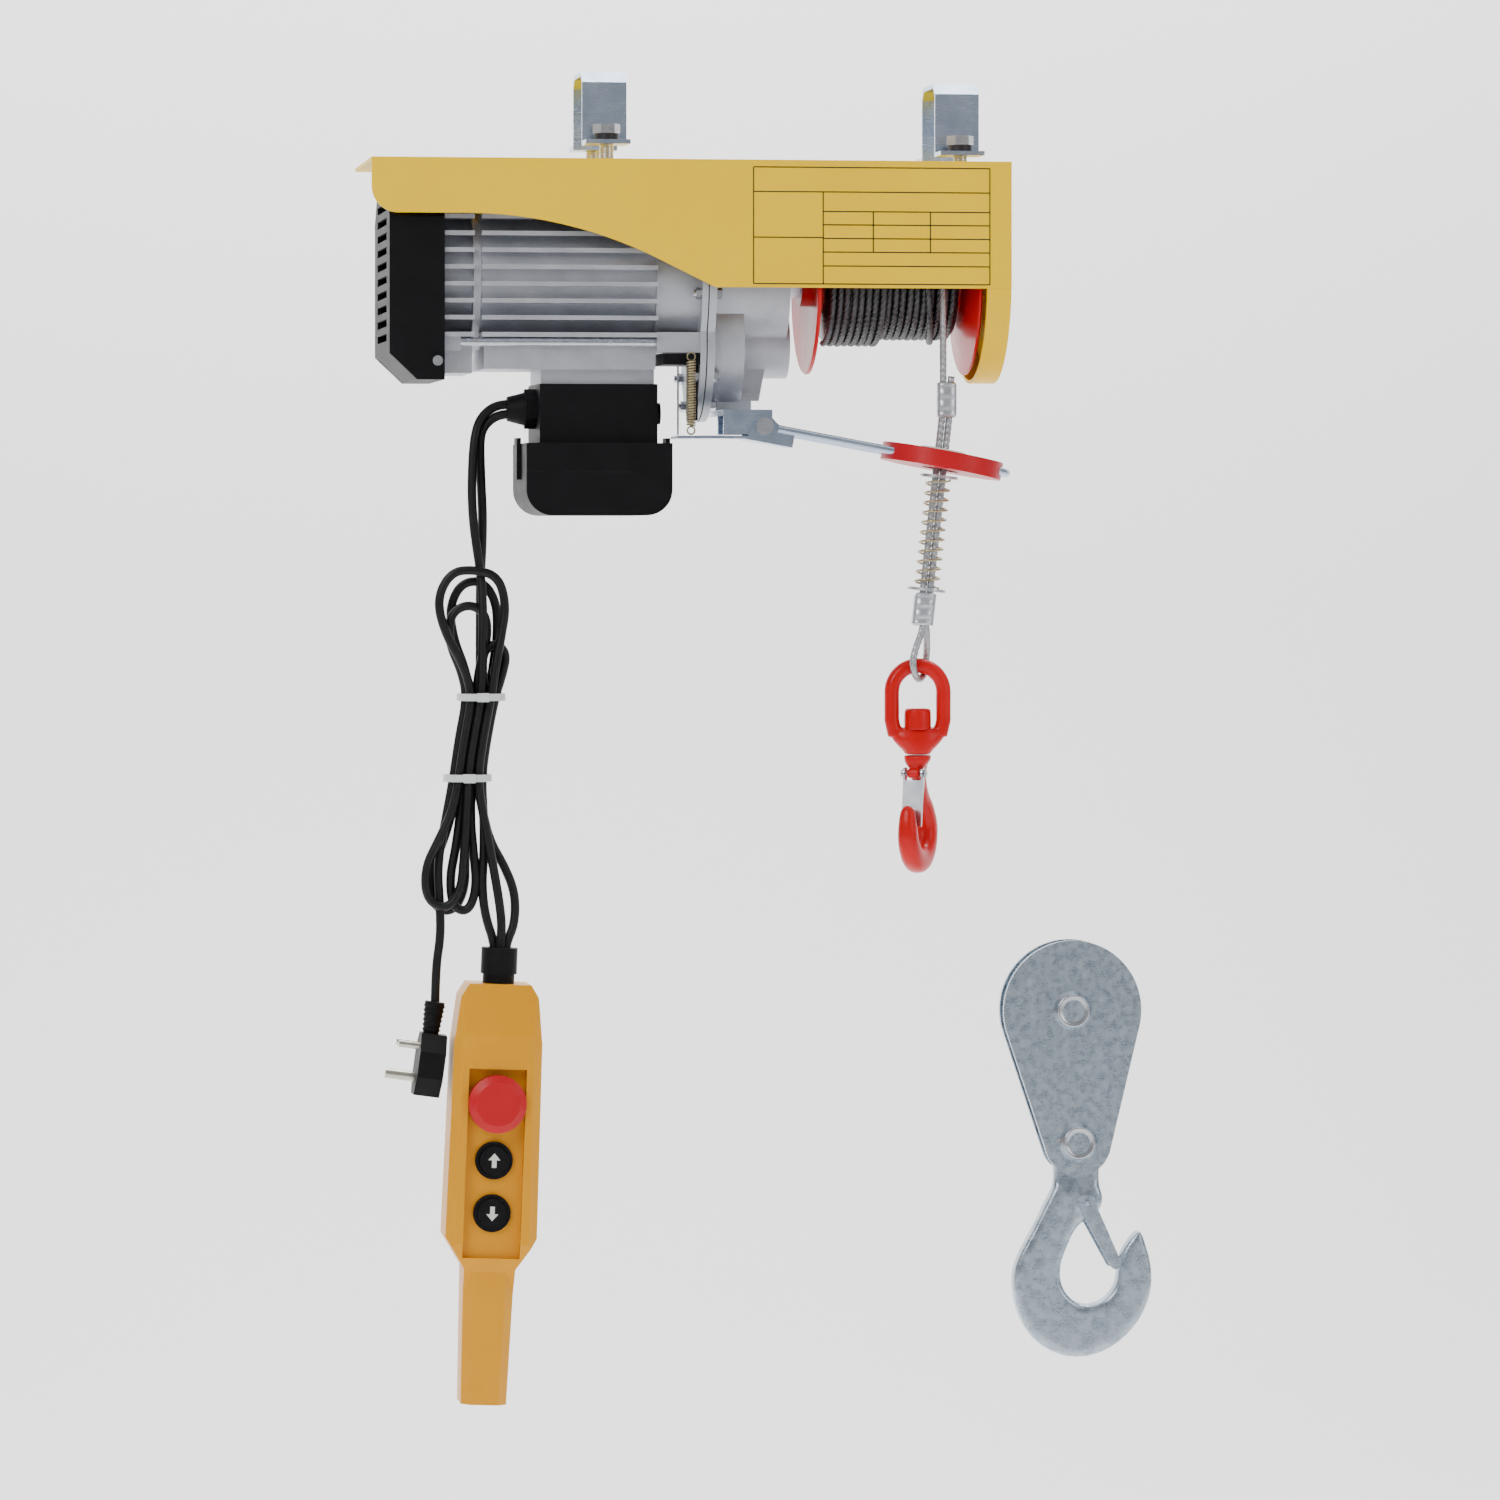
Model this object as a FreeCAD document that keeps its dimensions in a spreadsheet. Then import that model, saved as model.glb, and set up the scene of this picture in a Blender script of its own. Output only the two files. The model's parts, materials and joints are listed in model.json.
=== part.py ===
import FreeCAD, Part
import math
import os
import re
import Sketcher

# Electric wire rope hoist. Millimetres, +X along the boom towards the drum end, +Z up, the operator
# stands at -Y. The origin is on the axis of the boom, midway between the two boom brackets.

SIZES = {
    # boom and its two strap brackets; foot_reach and bolt_spread are measured from the boom's side
    "boom": 50, "boom_gap": 0.5, "strap": 3, "strap_width": 31, "strap_spread": 124,
    "strap_chamfer": 7.5, "left_crown": 38, "right_crown": 32, "left_lift": 11.5, "right_lift": 5.5,
    "foot_reach": 27, "bolt_spread": 16, "bolt_r": 4.8, "bolt_gap": 0.5, "bolt_head": 6.4, "bolt_tail": 14,
    "nut_flats": 16.5, "washer_r": 10, "washer": 1.6, "spring_washer_r": 8.4, "spring_washer": 4.5,
    # folded sheet housing
    "house_left": 289, "house_right": 155, "house_half": 72, "sheet": 2.5, "skirt": 88, "low_skirt": 38,
    "cap_depth": 17, "axis_drop": 80,
    # motor, measured along X from the gearbox flange
    "bell_left": 90, "frame_left": 212, "frame_r": 50, "frame_bore": 44, "fin": 3, "fin_reach": 58,
    "fin_pitch": 11.6, "shield_left": 238, "cover_left": 276, "cover_half": 62, "cover_low": 72,
    "core_r": 44, "stator_bore": 27, "rotor_gap": 0.4, "core_left": 192, "core_right": 132,
    "shaft_r": 7.5, "bearing_r": 17.5, "bearing": 11, "run_gap": 0.05, "tie_spread": 45.5, "tie_r": 3,
    # gearbox
    "lay_drop": 45, "flange_left": 60, "split": 56, "gasket": 1, "flange_right": 50, "case_step": 28,
    "case_right": 4, "case_wall": 4, "case_r": 66, "case_low_r": 54.5, "chamber_r": 41.5, "second_r": 48,
    "boss_r": 24, "case_bolt_r": 2.5,
    "fast_module": 1, "slow_module": 1.25, "backlash": 0.2,
    # drum and rope; fall_out is the room between the wound rope and the straight fall
    "drum_left": 20.5, "drum_root": 29, "drum_right": 136, "drum_root_right": 128, "drum_flange_r": 66,
    "drum_r": 23.5, "drum_shaft_r": 12.5, "drum_bearing_r": 23.5, "drum_bearing": 12,
    "rope_r": 2.5, "wound_r": 42.6, "fall_x": 111.3, "fall_out": 0.3, "ferrule_top": 177.6,
    # limit arm
    "pivot_x": 17, "pivot_drop": 208.5, "arm_slope": 10.5, "arm_rod_r": 2.8, "arm_half": 17.5,
    "arm_end": 155, "saddle": 2, "disc_r": 42.5, "disc": 12, "disc_bore": 13, "pin_r": 3, "pin_gap": 0.08,
    # hook
    "hook_x": 93.3, "stem_r": 4.5, "link_r": 5, "link_half": 23.5, "link_top": 369, "link_low": 436,
    # cords
    "cord_r": 3.2, "pendant_lean": 2.2,
    # pendant
    "pendant_half_depth": 23, "pendant_wall": 2.5, "button_r": 10, "bezel_r": 13, "button_gap": 0.3,
    "estop_r": 20, "estop_stem": 10,
    # hook block
    "plate": 4, "plate_gap": 12, "block_x": 206, "block_top": 616.5, "block_r": 49, "eye_x": 210,
    "eye_drop": 709, "sheave_r": 42, "sheave_pin_r": 8, "eye_pin_r": 7, "hook_thick": 11, "side_gap": 0.5,
}

doc = FreeCAD.newDocument("hoist")
sheet = doc.addObject("Spreadsheet::Sheet", "sizes")
for row, (alias, number) in enumerate(SIZES.items(), 1):
    sheet.set("A%d" % row, alias)
    sheet.set("B%d" % row, str(number))
    sheet.setAlias("B%d" % row, alias)
doc.recompute()

Vec = FreeCAD.Vector
nodes = []
count = {"made": 0}
WORD = re.compile(r"[a-z][a-z_]*")


def formula(text):
    """A formula over the sheet's aliases, in the form an expression wants."""
    return WORD.sub(
        lambda word: "sizes." + word.group() if word.group() in SIZES else word.group(), str(text))


def size(text):
    """What a formula comes to, in millimetres."""
    return float(sheet.evalExpression(formula(text)))


def new(kind, **formulas):
    """A document object whose properties are bound to formulas."""
    count["made"] += 1
    made = doc.addObject(kind, "shape_%03d" % count["made"])
    for name, text in formulas.items():
        made.setExpression(name, formula(text))
    return made


def put(made, x, y, z):
    """Bind an object's place to three formulas."""
    for name, text in zip("xyz", (x, y, z)):
        made.setExpression("Placement.Base." + name, formula(text))
    return made


def node(label, made):
    """Name an object as one of the hoist's pieces."""
    made.Label = label
    nodes.append(made)
    return made


TURNS = {
    "X": FreeCAD.Rotation(Vec(0, 1, 0), 90),
    "Y": FreeCAD.Rotation(Vec(1, 0, 0), -90),
    "Z": FreeCAD.Rotation(),
}


def box(x, y, z, wide, deep, high):
    return put(new("Part::Box", Length=wide, Width=deep, Height=high), x, y, z)


def rod(axis, radius, x, y, z, length):
    made = new("Part::Cylinder", Radius=radius, Height=length)
    made.Placement = FreeCAD.Placement(Vec(), TURNS[axis])
    return put(made, x, y, z)


def cone(axis, low, high, x, y, z, length):
    made = new("Part::Cone", Radius1=low, Radius2=high, Height=length)
    made.Placement = FreeCAD.Placement(Vec(), TURNS[axis])
    return put(made, x, y, z)


def hexagon(axis, flats, x, y, z, length):
    made = new("Part::Prism", Circumradius="(%s) / sqrt(3)" % flats, Height=length)
    made.Placement = FreeCAD.Placement(Vec(), TURNS[axis])
    return put(made, x, y, z)


def fuse(*shapes):
    made = new("Part::MultiFuse")
    made.Shapes = list(shapes)
    return made


def cut(base, *tools):
    made = new("Part::Cut")
    made.Base = base
    made.Tool = tools[0] if len(tools) == 1 else fuse(*tools)
    return made


def common(base, tool):
    made = new("Part::Common")
    made.Base = base
    made.Tool = tool
    return made


def group(*shapes):
    made = new("Part::Compound")
    made.Links = list(shapes)
    return made


def shaped(shape):
    """A feature whose shape is worked out in code from the sheet's sizes."""
    made = new("Part::Feature")
    made.Shape = shape
    return made


def tube(axis, outer, inner, x, y, z, length):
    return cut(rod(axis, outer, x, y, z, length), rod(axis, inner, x, y, z, length))


def arc_between(start, end, radius):
    """An arc that bulges left of the way from start to end for a positive radius, else right."""
    half = (end - start) * 0.5
    side = Vec(-half.y, half.x, 0).normalize() * (1 if radius > 0 else -1)
    centre = (start + end) * 0.5 - side * math.sqrt(max(radius ** 2 - half.Length ** 2, 0))
    first, last = (end, start) if radius > 0 else (start, end)
    angles = [math.atan2(spot.y - centre.y, spot.x - centre.x) for spot in (first, last)]
    return Part.ArcOfCircle(Part.Circle(centre, Vec(0, 0, 1), abs(radius)), *angles)


def sketch(body, plane, points, offset):
    """A closed outline on one of a body's own planes, each corner bound to two formulas."""
    made = body.newObject("Sketcher::SketchObject", body.Name + "_outline")
    origin = next(f for f in body.Origin.OriginFeatures if f.Role == plane + "_Plane")
    made.AttachmentSupport = (origin, [""])
    made.MapMode = "FlatFace"
    made.setExpression("AttachmentOffset.Base.z", formula(offset))
    spots = [Vec(size(p[0]), size(p[1]), 0) for p in points]
    ends = []
    for i, point in enumerate(points):
        start, end = spots[i], spots[(i + 1) % len(points)]
        if len(point) == 2:
            made.addGeometry(Part.LineSegment(start, end))
            ends.append((1, 2))
            continue
        radius = size(point[2])
        made.addGeometry(arc_between(start, end, radius))
        ends.append((2, 1) if radius > 0 else (1, 2))
    for i, point in enumerate(points):
        after = (i + 1) % len(points)
        made.addConstraint(Sketcher.Constraint("Coincident", i, ends[i][1], after, ends[after][0]))
        for kind, axis, value, text in (
            ("DistanceX", -2, spots[i].x, point[0]),
            ("DistanceY", -1, spots[i].y, point[1]),
        ):
            if abs(value) < 1e-9:
                made.addConstraint(Sketcher.Constraint("PointOnObject", i, ends[i][0], axis))
                continue
            rule = made.addConstraint(Sketcher.Constraint(kind, -1, 1, i, ends[i][0], value))
            made.setExpression("Constraints[%d]" % rule, formula(text))
        if len(point) == 3:
            rule = made.addConstraint(Sketcher.Constraint("Radius", i, abs(size(point[2]))))
            made.setExpression("Constraints[%d]" % rule, formula("abs(%s)" % point[2]))
    return made


def padded(plane, points, start, depth):
    """An outline given in the row's own axes, made solid from start over depth along its normal."""
    body = new("PartDesign::Body")
    offset = "-((%s) + (%s))" % (start, depth) if plane == "XZ" else start
    outline = sketch(body, plane, points, offset)
    pad = body.newObject("PartDesign::Pad", body.Name + "_pad")
    pad.Profile = outline
    pad.setExpression("Length", formula(depth))
    return body


def turned(axis, profile, x=0, y=0, z=0):
    """A turned piece: its profile is a list of (place along the axis, radius)."""
    body = new("PartDesign::Body")
    plane = {"X": "XZ", "Y": "XY", "Z": "XZ"}[axis]
    points = [tuple(p) if axis == "X" else (p[1], p[0]) for p in profile]
    outline = sketch(body, plane, points, "0")
    spin = body.newObject("PartDesign::Revolution", body.Name + "_turned")
    spin.Profile = outline
    spin.ReferenceAxis = (outline, ["H_Axis" if axis == "X" else "V_Axis"])
    spin.Angle = 360
    return put(body, x, y, z)


def path_wire(points, share=0.45):
    """Straight runs joined by tangent arcs, each arc as large as its two runs allow."""
    radii, edges, start = [], [], points[0]
    for before, corner, after in zip(points, points[1:], points[2:]):
        back, ahead = before - corner, after - corner
        turn = math.pi - back.getAngle(ahead)
        trim = share * min(back.Length, ahead.Length)
        radius = trim / math.tan(turn / 2)
        first = corner + back.normalize() * trim
        last = corner + ahead.normalize() * trim
        bisector = (back + ahead).normalize()
        middle = corner + bisector * (radius / math.cos(turn / 2) - radius)
        if (first - start).Length > 1e-6:
            edges.append(Part.LineSegment(start, first).toShape())
        edges.append(Part.Arc(first, middle, last).toShape())
        radii.append(radius)
        start = last
    edges.append(Part.LineSegment(start, points[-1]).toShape())
    return Part.Wire(edges), radii


def swept(wire, radius, start, direction):
    """A round bar along a wire."""
    profile = Part.Wire([Part.makeCircle(radius, start, direction)])
    return wire.makePipeShell([profile], True, False)


def bar_along(points, radius, share=0.45):
    wire, radii = path_wire(points, share)
    return swept(wire, radius, points[0], points[1] - points[0]), wire, radii


def coil_spring(mean_r, wire_r, turns, low, high):
    """A round-wire spring about Z from low to high, its ends left as cut wire."""
    pitch = (high - low - 2 * wire_r) / turns
    helix = Part.makeHelix(pitch, pitch * turns, mean_r)
    spring = swept(Part.Wire(helix.Edges), wire_r, Vec(mean_r, 0, 0), Vec(0, mean_r * 2 * math.pi, pitch))
    spring.translate(Vec(0, 0, low + wire_r))
    return spring


TIP_CUT = 0.2
UNDERCUT = 0.8


def involute_gear(module, teeth, shift, bore, width, turn):
    """A spur gear about X from X = 0 over its width, with one tooth gap facing down at turn 0."""
    pitch_r = module * teeth / 2
    base_r = pitch_r * math.cos(math.radians(20))
    tip_r = pitch_r + module * (1 + shift - TIP_CUT)
    root_r = pitch_r - module * (1.25 - shift)
    inv_20 = math.tan(math.radians(20)) - math.radians(20)
    half = math.pi / (2 * teeth) + 2 * shift * math.tan(math.radians(20)) / teeth + inv_20
    half -= size("backlash") / (2 * pitch_r)

    def flank(radius):
        angle = math.acos(min(1, base_r / radius))
        return half - (math.tan(angle) - angle)

    start_r = max(base_r, root_r)
    steps = [start_r + (tip_r - start_r) * i / 5 for i in range(6)]
    spots = []
    for tooth in range(teeth):
        centre = 2 * math.pi * (tooth + 0.5) / teeth + turn
        waist = flank(start_r) * UNDERCUT
        low = [(root_r, centre - waist)] if root_r < start_r - 1e-6 else []
        rise = [(r, centre - flank(r)) for r in steps]
        fall = [(r, centre + flank(r)) for r in reversed(steps)]
        end = [(root_r, centre + waist)] if low else []
        spots += low + rise + fall + end
    corners = [Vec(0, -r * math.sin(a), -r * math.cos(a)) for r, a in spots]
    face = Part.Face(Part.makePolygon(corners + corners[:1]))
    if bore > 0:
        hole = Part.Face(Part.Wire([Part.makeCircle(bore, Vec(), Vec(1, 0, 0))]))
        face = face.cut(hole)
    return face.extrude(Vec(width, 0, 0))


# ---------------------------------------------------------------- shared places

TOP = "-boom / 2"
AXIS = "-boom / 2 - axis_drop"
LAY = "-boom / 2 - axis_drop - lay_drop"
FALL_Y = "-wound_r - rope_r - fall_out"
BOLTS_Y = ("-boom / 2 - bolt_spread", "boom / 2 + bolt_spread")
FOOT_Y = "boom / 2 + foot_reach"

# ---------------------------------------------------------------- housing

SKIRT = "-boom / 2 - skirt"
LOW = "-boom / 2 - low_skirt"
side = padded("XZ", [
    ("-house_left", TOP), ("house_right", TOP), ("house_right", SKIRT), ("-52", SKIRT),
    ("-88", SKIRT + " + 17.7", "-300"), ("-222", LOW), ("-house_left + 18", LOW, "18"),
    ("-house_left", LOW + " + 18"),
], "-house_half", "2 * house_half")
inside = box("-house_left - 5", "-house_half + sheet", SKIRT + " - 5",
             "house_left + house_right + 5 - sheet", "2 * (house_half - sheet)", "skirt + 5 - sheet")


def cap_outline(half):
    return [("-(%s)" % half, AXIS), (half, AXIS), (half, TOP + " - 1"), ("-(%s)" % half, TOP + " - 1")]


def cap_solid(half, start, depth):
    """The end cap's stadium: a square top that runs into a half round about the drum axis."""
    return fuse(padded("YZ", cap_outline(half), start, depth), rod("X", half, start, 0, AXIS, depth))


cap = cut(cap_solid("house_half", "house_right - cap_depth", "cap_depth"),
          cap_solid("house_half - sheet", "house_right - cap_depth - 1", "cap_depth + 1 - sheet"))
shaft_boss = rod("X", "drum_bearing_r + 6", "house_right - sheet - drum_bearing", 0, AXIS, "drum_bearing")
shaft_seat = rod("X", "drum_bearing_r", "house_right - sheet - drum_bearing", 0, AXIS, "drum_bearing")
bolt_holes = [rod("Z", "bolt_r + bolt_gap", x, y, TOP + " - 10", 20)
              for x in ("-strap_spread", "strap_spread") for y in BOLTS_Y]
screw_holes = [rod("Z", 2.6, "-55", y, TOP + " - 10", 20) for y in ("-24", "24")]
back_corner = box("-house_left - 1", "house_half - sheet - 1", TOP + " - 60 - sheet", 27, "sheet + 2", 60)
node("housing_cover", cut(fuse(cut(side, inside), cap, shaft_boss),
                          shaft_seat, back_corner, *bolt_holes, *screw_holes))

# ---------------------------------------------------------------- boom brackets and their bolts


def strap_outline(crown, lift):
    """A strap bent over the boom, with two feet turned outwards, seen along the boom."""
    foot = TOP + " + " + lift
    inner = "boom / 2 + boom_gap"
    slant = "strap * 0.4142"
    half = [
        (FOOT_Y, foot), (FOOT_Y, foot + " + strap"), (inner + " + strap", foot + " + strap"),
        (inner + " + strap", crown + " - strap_chamfer"), (inner + " + strap - strap_chamfer", crown),
    ]
    inside = [
        (inner + " - strap_chamfer + strap - " + slant, crown + " - strap"),
        (inner, crown + " - strap_chamfer - " + slant), (inner, foot),
    ]
    mirror = [("-(%s)" % y, z) for y, z in reversed(half)]
    return half + mirror + [("-(%s)" % y, z) for y, z in reversed(inside)] + inside


for name, place, crown, lift in (
    ("boom_bracket_left", "-strap_spread", "left_crown", "left_lift"),
    ("boom_bracket_right", "strap_spread", "right_crown", "right_lift"),
):
    strap = padded("YZ", strap_outline(crown, lift), place + " - strap_width / 2", "strap_width")
    holes = [rod("Z", "bolt_r + bolt_gap", place, y, TOP, 30) for y in BOLTS_Y]
    node(name, cut(strap, *holes))

bolts, washers = [], []
for x, lift in (("-strap_spread", "left_lift"), ("strap_spread", "right_lift")):
    for y in BOLTS_Y:
        foot = TOP + " + " + lift + " + strap"
        seat = foot + " + spring_washer"
        under = TOP + " - sheet"
        bolts.append(fuse(
            hexagon("Z", "nut_flats", x, y, seat, "bolt_head"),
            rod("Z", "bolt_r", x, y, under + " - bolt_tail", lift + " + strap + spring_washer + "
                "sheet + bolt_tail + 1")))
        nut_low = under + " - washer - bolt_head"
        bolts.append(cut(hexagon("Z", "nut_flats", x, y, nut_low, "bolt_head"),
                         rod("Z", "bolt_r", x, y, nut_low, "bolt_head")))
        washers += [
            tube("Z", "spring_washer_r", "bolt_r", x, y, foot, "spring_washer"),
            tube("Z", "washer_r", "bolt_r", x, y, under + " - washer", "washer"),
        ]
node("boom_bolts", group(*bolts))
node("boom_washers", group(*washers))

# ---------------------------------------------------------------- motor


def cover_outline(less):
    """The fan cover's eight-sided section, wider at the foot."""
    half = "(cover_half - %s)" % less
    low = "(cover_low - %s)" % less
    return [
        (half + " - 22", AXIS + " + " + half), (half, AXIS + " + " + half + " - 22"),
        (half, AXIS + " - " + low), ("-" + half, AXIS + " - " + low),
        ("-" + half, AXIS + " + " + half + " - 22"), ("-" + half + " + 22", AXIS + " + " + half),
    ]


cover = cut(
    padded("YZ", cover_outline("0"), "-cover_left", "cover_left - shield_left"),
    padded("YZ", cover_outline("2.5"), "-cover_left + 2.5", "cover_left - shield_left"))
corner = padded("XZ", [("-cover_left - 1", AXIS + " - 53"), ("-cover_left + 19", AXIS + " - cover_low"),
                       ("-cover_left + 19", AXIS + " - cover_low - 5"),
                       ("-cover_left - 1", AXIS + " - cover_low - 5")], "-cover_half - 1", "2 * cover_half + 2")
corner_wall = padded("XZ", [("-cover_left", AXIS + " - 53"), ("-cover_left + 18.5", AXIS + " - cover_low"),
                            ("-cover_left + 22.5", AXIS + " - cover_low"), ("-cover_left", AXIS + " - 49")],
                     "-cover_half", "2 * cover_half")
air = [box("-cover_left - 1", "-38", AXIS + " + %g" % z, 5, 76, 5) for z in range(-45, 50, 10)]
node("fan_cover", cut(fuse(cover, corner_wall), corner, *air))

cover_screws = [rod("Y", 3.5, "-shield_left - 5", y, AXIS + " - 59", 2)
                for y in ("-cover_half - 2", "cover_half")]
case_screws = [fuse(rod("Z", 6, "-55", y, TOP, 2.5), rod("Z", 2.5, "-55", y, TOP + " - 14", 15))
               for y in ("-24", "24")]

fins = [box("-frame_left", "-fin_reach", AXIS + " + fin_pitch * %g - fin / 2" % (k - 3.5),
            "frame_left - bell_left", "2 * fin_reach", "fin") for k in range(8)]
frame = fuse(rod("X", "frame_r", "-frame_left", 0, AXIS, "frame_left - bell_left"), *fins,
             box("-frame_left + 3", "-42", AXIS + " - 64", "frame_left - bell_left - 3", 84, 22),
             box("-frame_left + 43", "-34", AXIS + " - 74", "frame_left - bell_left - 43", 68, 12))
wire_way = rod("Z", 12, "-130", 0, AXIS + " - 75", 40)
node("motor_frame", cut(
    frame, rod("X", "frame_bore", "-frame_left", 0, AXIS, "frame_left - bell_left"), wire_way))

shield_fins = [box("-shield_left", "-fin_reach", AXIS + " + fin_pitch * %g - fin / 2" % (k - 3.5),
                   "shield_left - frame_left - 5", "2 * fin_reach", "fin") for k in range(8)]
shield = fuse(rod("X", "frame_r + 2", "-frame_left - 5", 0, AXIS, 5),
              rod("X", "frame_r - 3", "-shield_left", 0, AXIS, "shield_left - frame_left"), *shield_fins,
              box("-shield_left", "-40", AXIS + " - 67", "shield_left - frame_left - 5", 80, 24),
              *[box("-shield_left", y + " - 6", AXIS + " + " + z + " - 6", 12, 12, 12)
                for y in ("-tie_spread", "tie_spread") for z in ("-tie_spread", "tie_spread")])
node("motor_end_shield", cut(
    shield, rod("X", "frame_bore - 3", "-shield_left + 14", 0, AXIS, 40),
    rod("X", "bearing_r", "-shield_left + 3", 0, AXIS, "bearing"),
    rod("X", "shaft_r + 1", "-shield_left - 1", 0, AXIS, 40),
    *[rod("X", "tie_r", "-shield_left - 1", y, AXIS + " + " + z, 20)
      for y in ("-tie_spread", "tie_spread") for z in ("-tie_spread", "tie_spread")]))

node("stator_core", tube("X", "core_r", "stator_bore", "-core_left", 0, AXIS, "core_left - core_right"))
node("stator_windings", group(
    tube("X", "core_r - 3", "stator_bore + 4", "-core_left - 12", 0, AXIS, 12),
    tube("X", "core_r - 3", "stator_bore + 4", "-core_right", 0, AXIS, 12)))

node("tie_bolts", group(*[fuse(
    rod("X", "tie_r", "-shield_left", y, AXIS + " + " + z, "shield_left - bell_left + 16"),
    hexagon("X", "8", "-shield_left - 4", y, AXIS + " + " + z, 4))
    for y in ("-tie_spread", "tie_spread") for z in ("-tie_spread", "tie_spread")]))

# rotor: laminated core with end rings, shaft with the first pinion cut on its end
rotor_core = fuse(
    rod("X", "stator_bore - rotor_gap", "-core_left", 0, AXIS, "core_left - core_right"),
    rod("X", "stator_bore - 3", "-core_left - 5", 0, AXIS, "core_left - core_right + 10"),
    rod("X", "shaft_r - run_gap", "-cover_left + 14", 0, AXIS, "cover_left - 14 - flange_right"))
FAST_TEETH, FAST_WHEEL, SLOW_TEETH, SLOW_WHEEL = 12, 78, 12, 60
SHIFT = 0.4
fast = size("fast_module")
slow = size("slow_module")
pinion = involute_gear(fast, FAST_TEETH, SHIFT, 0, size("flange_right - case_step - 3"), 0)
pinion.translate(Vec(size("-flange_right"), 0, size(AXIS)))
node("rotor", fuse(rotor_core, shaped(pinion)))

fan_x = size("-cover_left + 16")
blades = [Part.makeBox(14, 2, 28, Vec(fan_x, -1, 14)) for _ in range(9)]
for index, blade in enumerate(blades):
    blade.rotate(Vec(), Vec(1, 0, 0), 40 * index)
    blade.translate(Vec(0, 0, size(AXIS)))
fan = fuse(shaped(blades[0].multiFuse(blades[1:])),
           rod("X", 16, "-cover_left + 15", 0, AXIS, 16), rod("X", 40, "-cover_left + 29", 0, AXIS, 2))
node("cooling_fan", cut(fan, rod("X", "shaft_r - run_gap", "-cover_left + 10", 0, AXIS, 30)))

# ---------------------------------------------------------------- gearbox


def case_plate(start, depth, less="0"):
    """The gearbox outline: a large round about the drum axis and a smaller one about the lay shaft."""
    upper = rod("X", "case_r - (%s)" % less, start, 0, AXIS, depth)
    lower = rod("X", "case_low_r - (%s)" % less, start, 0, LAY, depth)
    return fuse(upper, lower)


CASE_BOLTS = [(y, z) for y, z in (
    (-57, "+ 22"), (57, "+ 22"), (-60.5, "- 12"), (60.5, "- 12"), (-44, "- 68.5"), (44, "- 68.5"),
    (-25, "- 88.5"), (25, "- 88.5"))]


def case_holes(start, depth):
    return [rod("X", "case_bolt_r", start, str(y), AXIS + " " + z, depth)
            for y, z in CASE_BOLTS]


ears = [box("-bell_left", y + " - 7", AXIS + " + " + z + " - 7", 30, 14, 14)
        for y in ("-tie_spread", "tie_spread") for z in ("-tie_spread", "tie_spread")]
top_foot = box("-flange_left - 12", "-34", AXIS + " + 50", 14, 68, "axis_drop - 50 - sheet")
bell = fuse(case_plate("-flange_left", "flange_left - split"),
            rod("X", "frame_r + 2", "-bell_left", 0, AXIS, "bell_left - flange_left"), *ears, top_foot)
bell_cuts = [
    rod("X", "frame_bore - 3", "-bell_left - 1", 0, AXIS, "bell_left - flange_left - 7"),
    rod("X", "bearing_r", "-flange_left - 8", 0, AXIS, "bearing"),
    rod("X", "shaft_r + 1", "-flange_left - 8", 0, AXIS, 20),
    rod("X", "bearing_r - 3.5", "-split - 3", 0, LAY, 3),
    *[rod("Z", 2.5, "-55 - 3", y, TOP + " - 20", 20) for y in ("-24", "24")],
    *[rod("X", "tie_r", "-bell_left - 1", y, AXIS + " + " + z, 20)
      for y in ("-tie_spread", "tie_spread") for z in ("-tie_spread", "tie_spread")],
]
node("gearbox_bell", cut(bell, *bell_cuts, *case_holes("-flange_left - 1", 6)))

gasket = cut(case_plate("-split", "gasket"), rod("X", "chamber_r", "-split - 1", 0, LAY, 3),
             rod("X", "20", "-split - 1", 0, AXIS, 3))
node("gearbox_gasket", cut(gasket, *case_holes("-split - 1", 4)))

case = fuse(case_plate("-split + gasket", "split - gasket - flange_right"),
            rod("X", "chamber_r + case_wall", "-flange_right - 1", 0, LAY, "flange_right + 1 - case_step"),
            rod("X", "second_r", "-flange_right - 1", 0, AXIS, "flange_right + 1 + case_right"),
            rod("X", "boss_r", "-case_step", 0, LAY, "case_step + case_right + 3"),
            padded("XZ", [("-flange_right", LAY + " - 36"), ("-case_step + 5", LAY + " - 18"),
                          ("-case_step + 5", LAY + " - 10"), ("-flange_right", LAY + " - 10")], "-3", "6"),
            box("-44", "-20", LAY + " - 47", 24, 40, 12),
            padded("XZ", [("-30", LAY + " - 40"), ("-14", LAY + " - 40"), ("-10", LAY + " - 18"),
                          ("-30", LAY + " - 14")], "-16", "6"))
case_cuts = [
    rod("X", "chamber_r", "-split", 0, LAY, "split - case_step - case_wall"),
    rod("X", 20, "-split", 0, AXIS, "split - case_step"),
    rod("X", "second_r - case_wall", "-case_step", 0, AXIS, "case_step - 10"),
    rod("X", "second_r - case_wall", "-case_step - case_wall", 0, AXIS, "case_wall + 1"),
    rod("X", "drum_bearing_r", "case_right - drum_bearing", 0, AXIS, "drum_bearing + 1"),
    rod("X", "drum_bearing_r - 3", "-12", 0, AXIS, 10),
    rod("X", 14, "-case_step - case_wall - 1", 0, LAY, "case_step + case_wall - 6"),
    rod("X", "bearing_r", "-9", 0, LAY, "bearing"),
]
node("gearbox_cover", cut(case, *case_cuts, *case_holes("-split", 10)))

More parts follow.
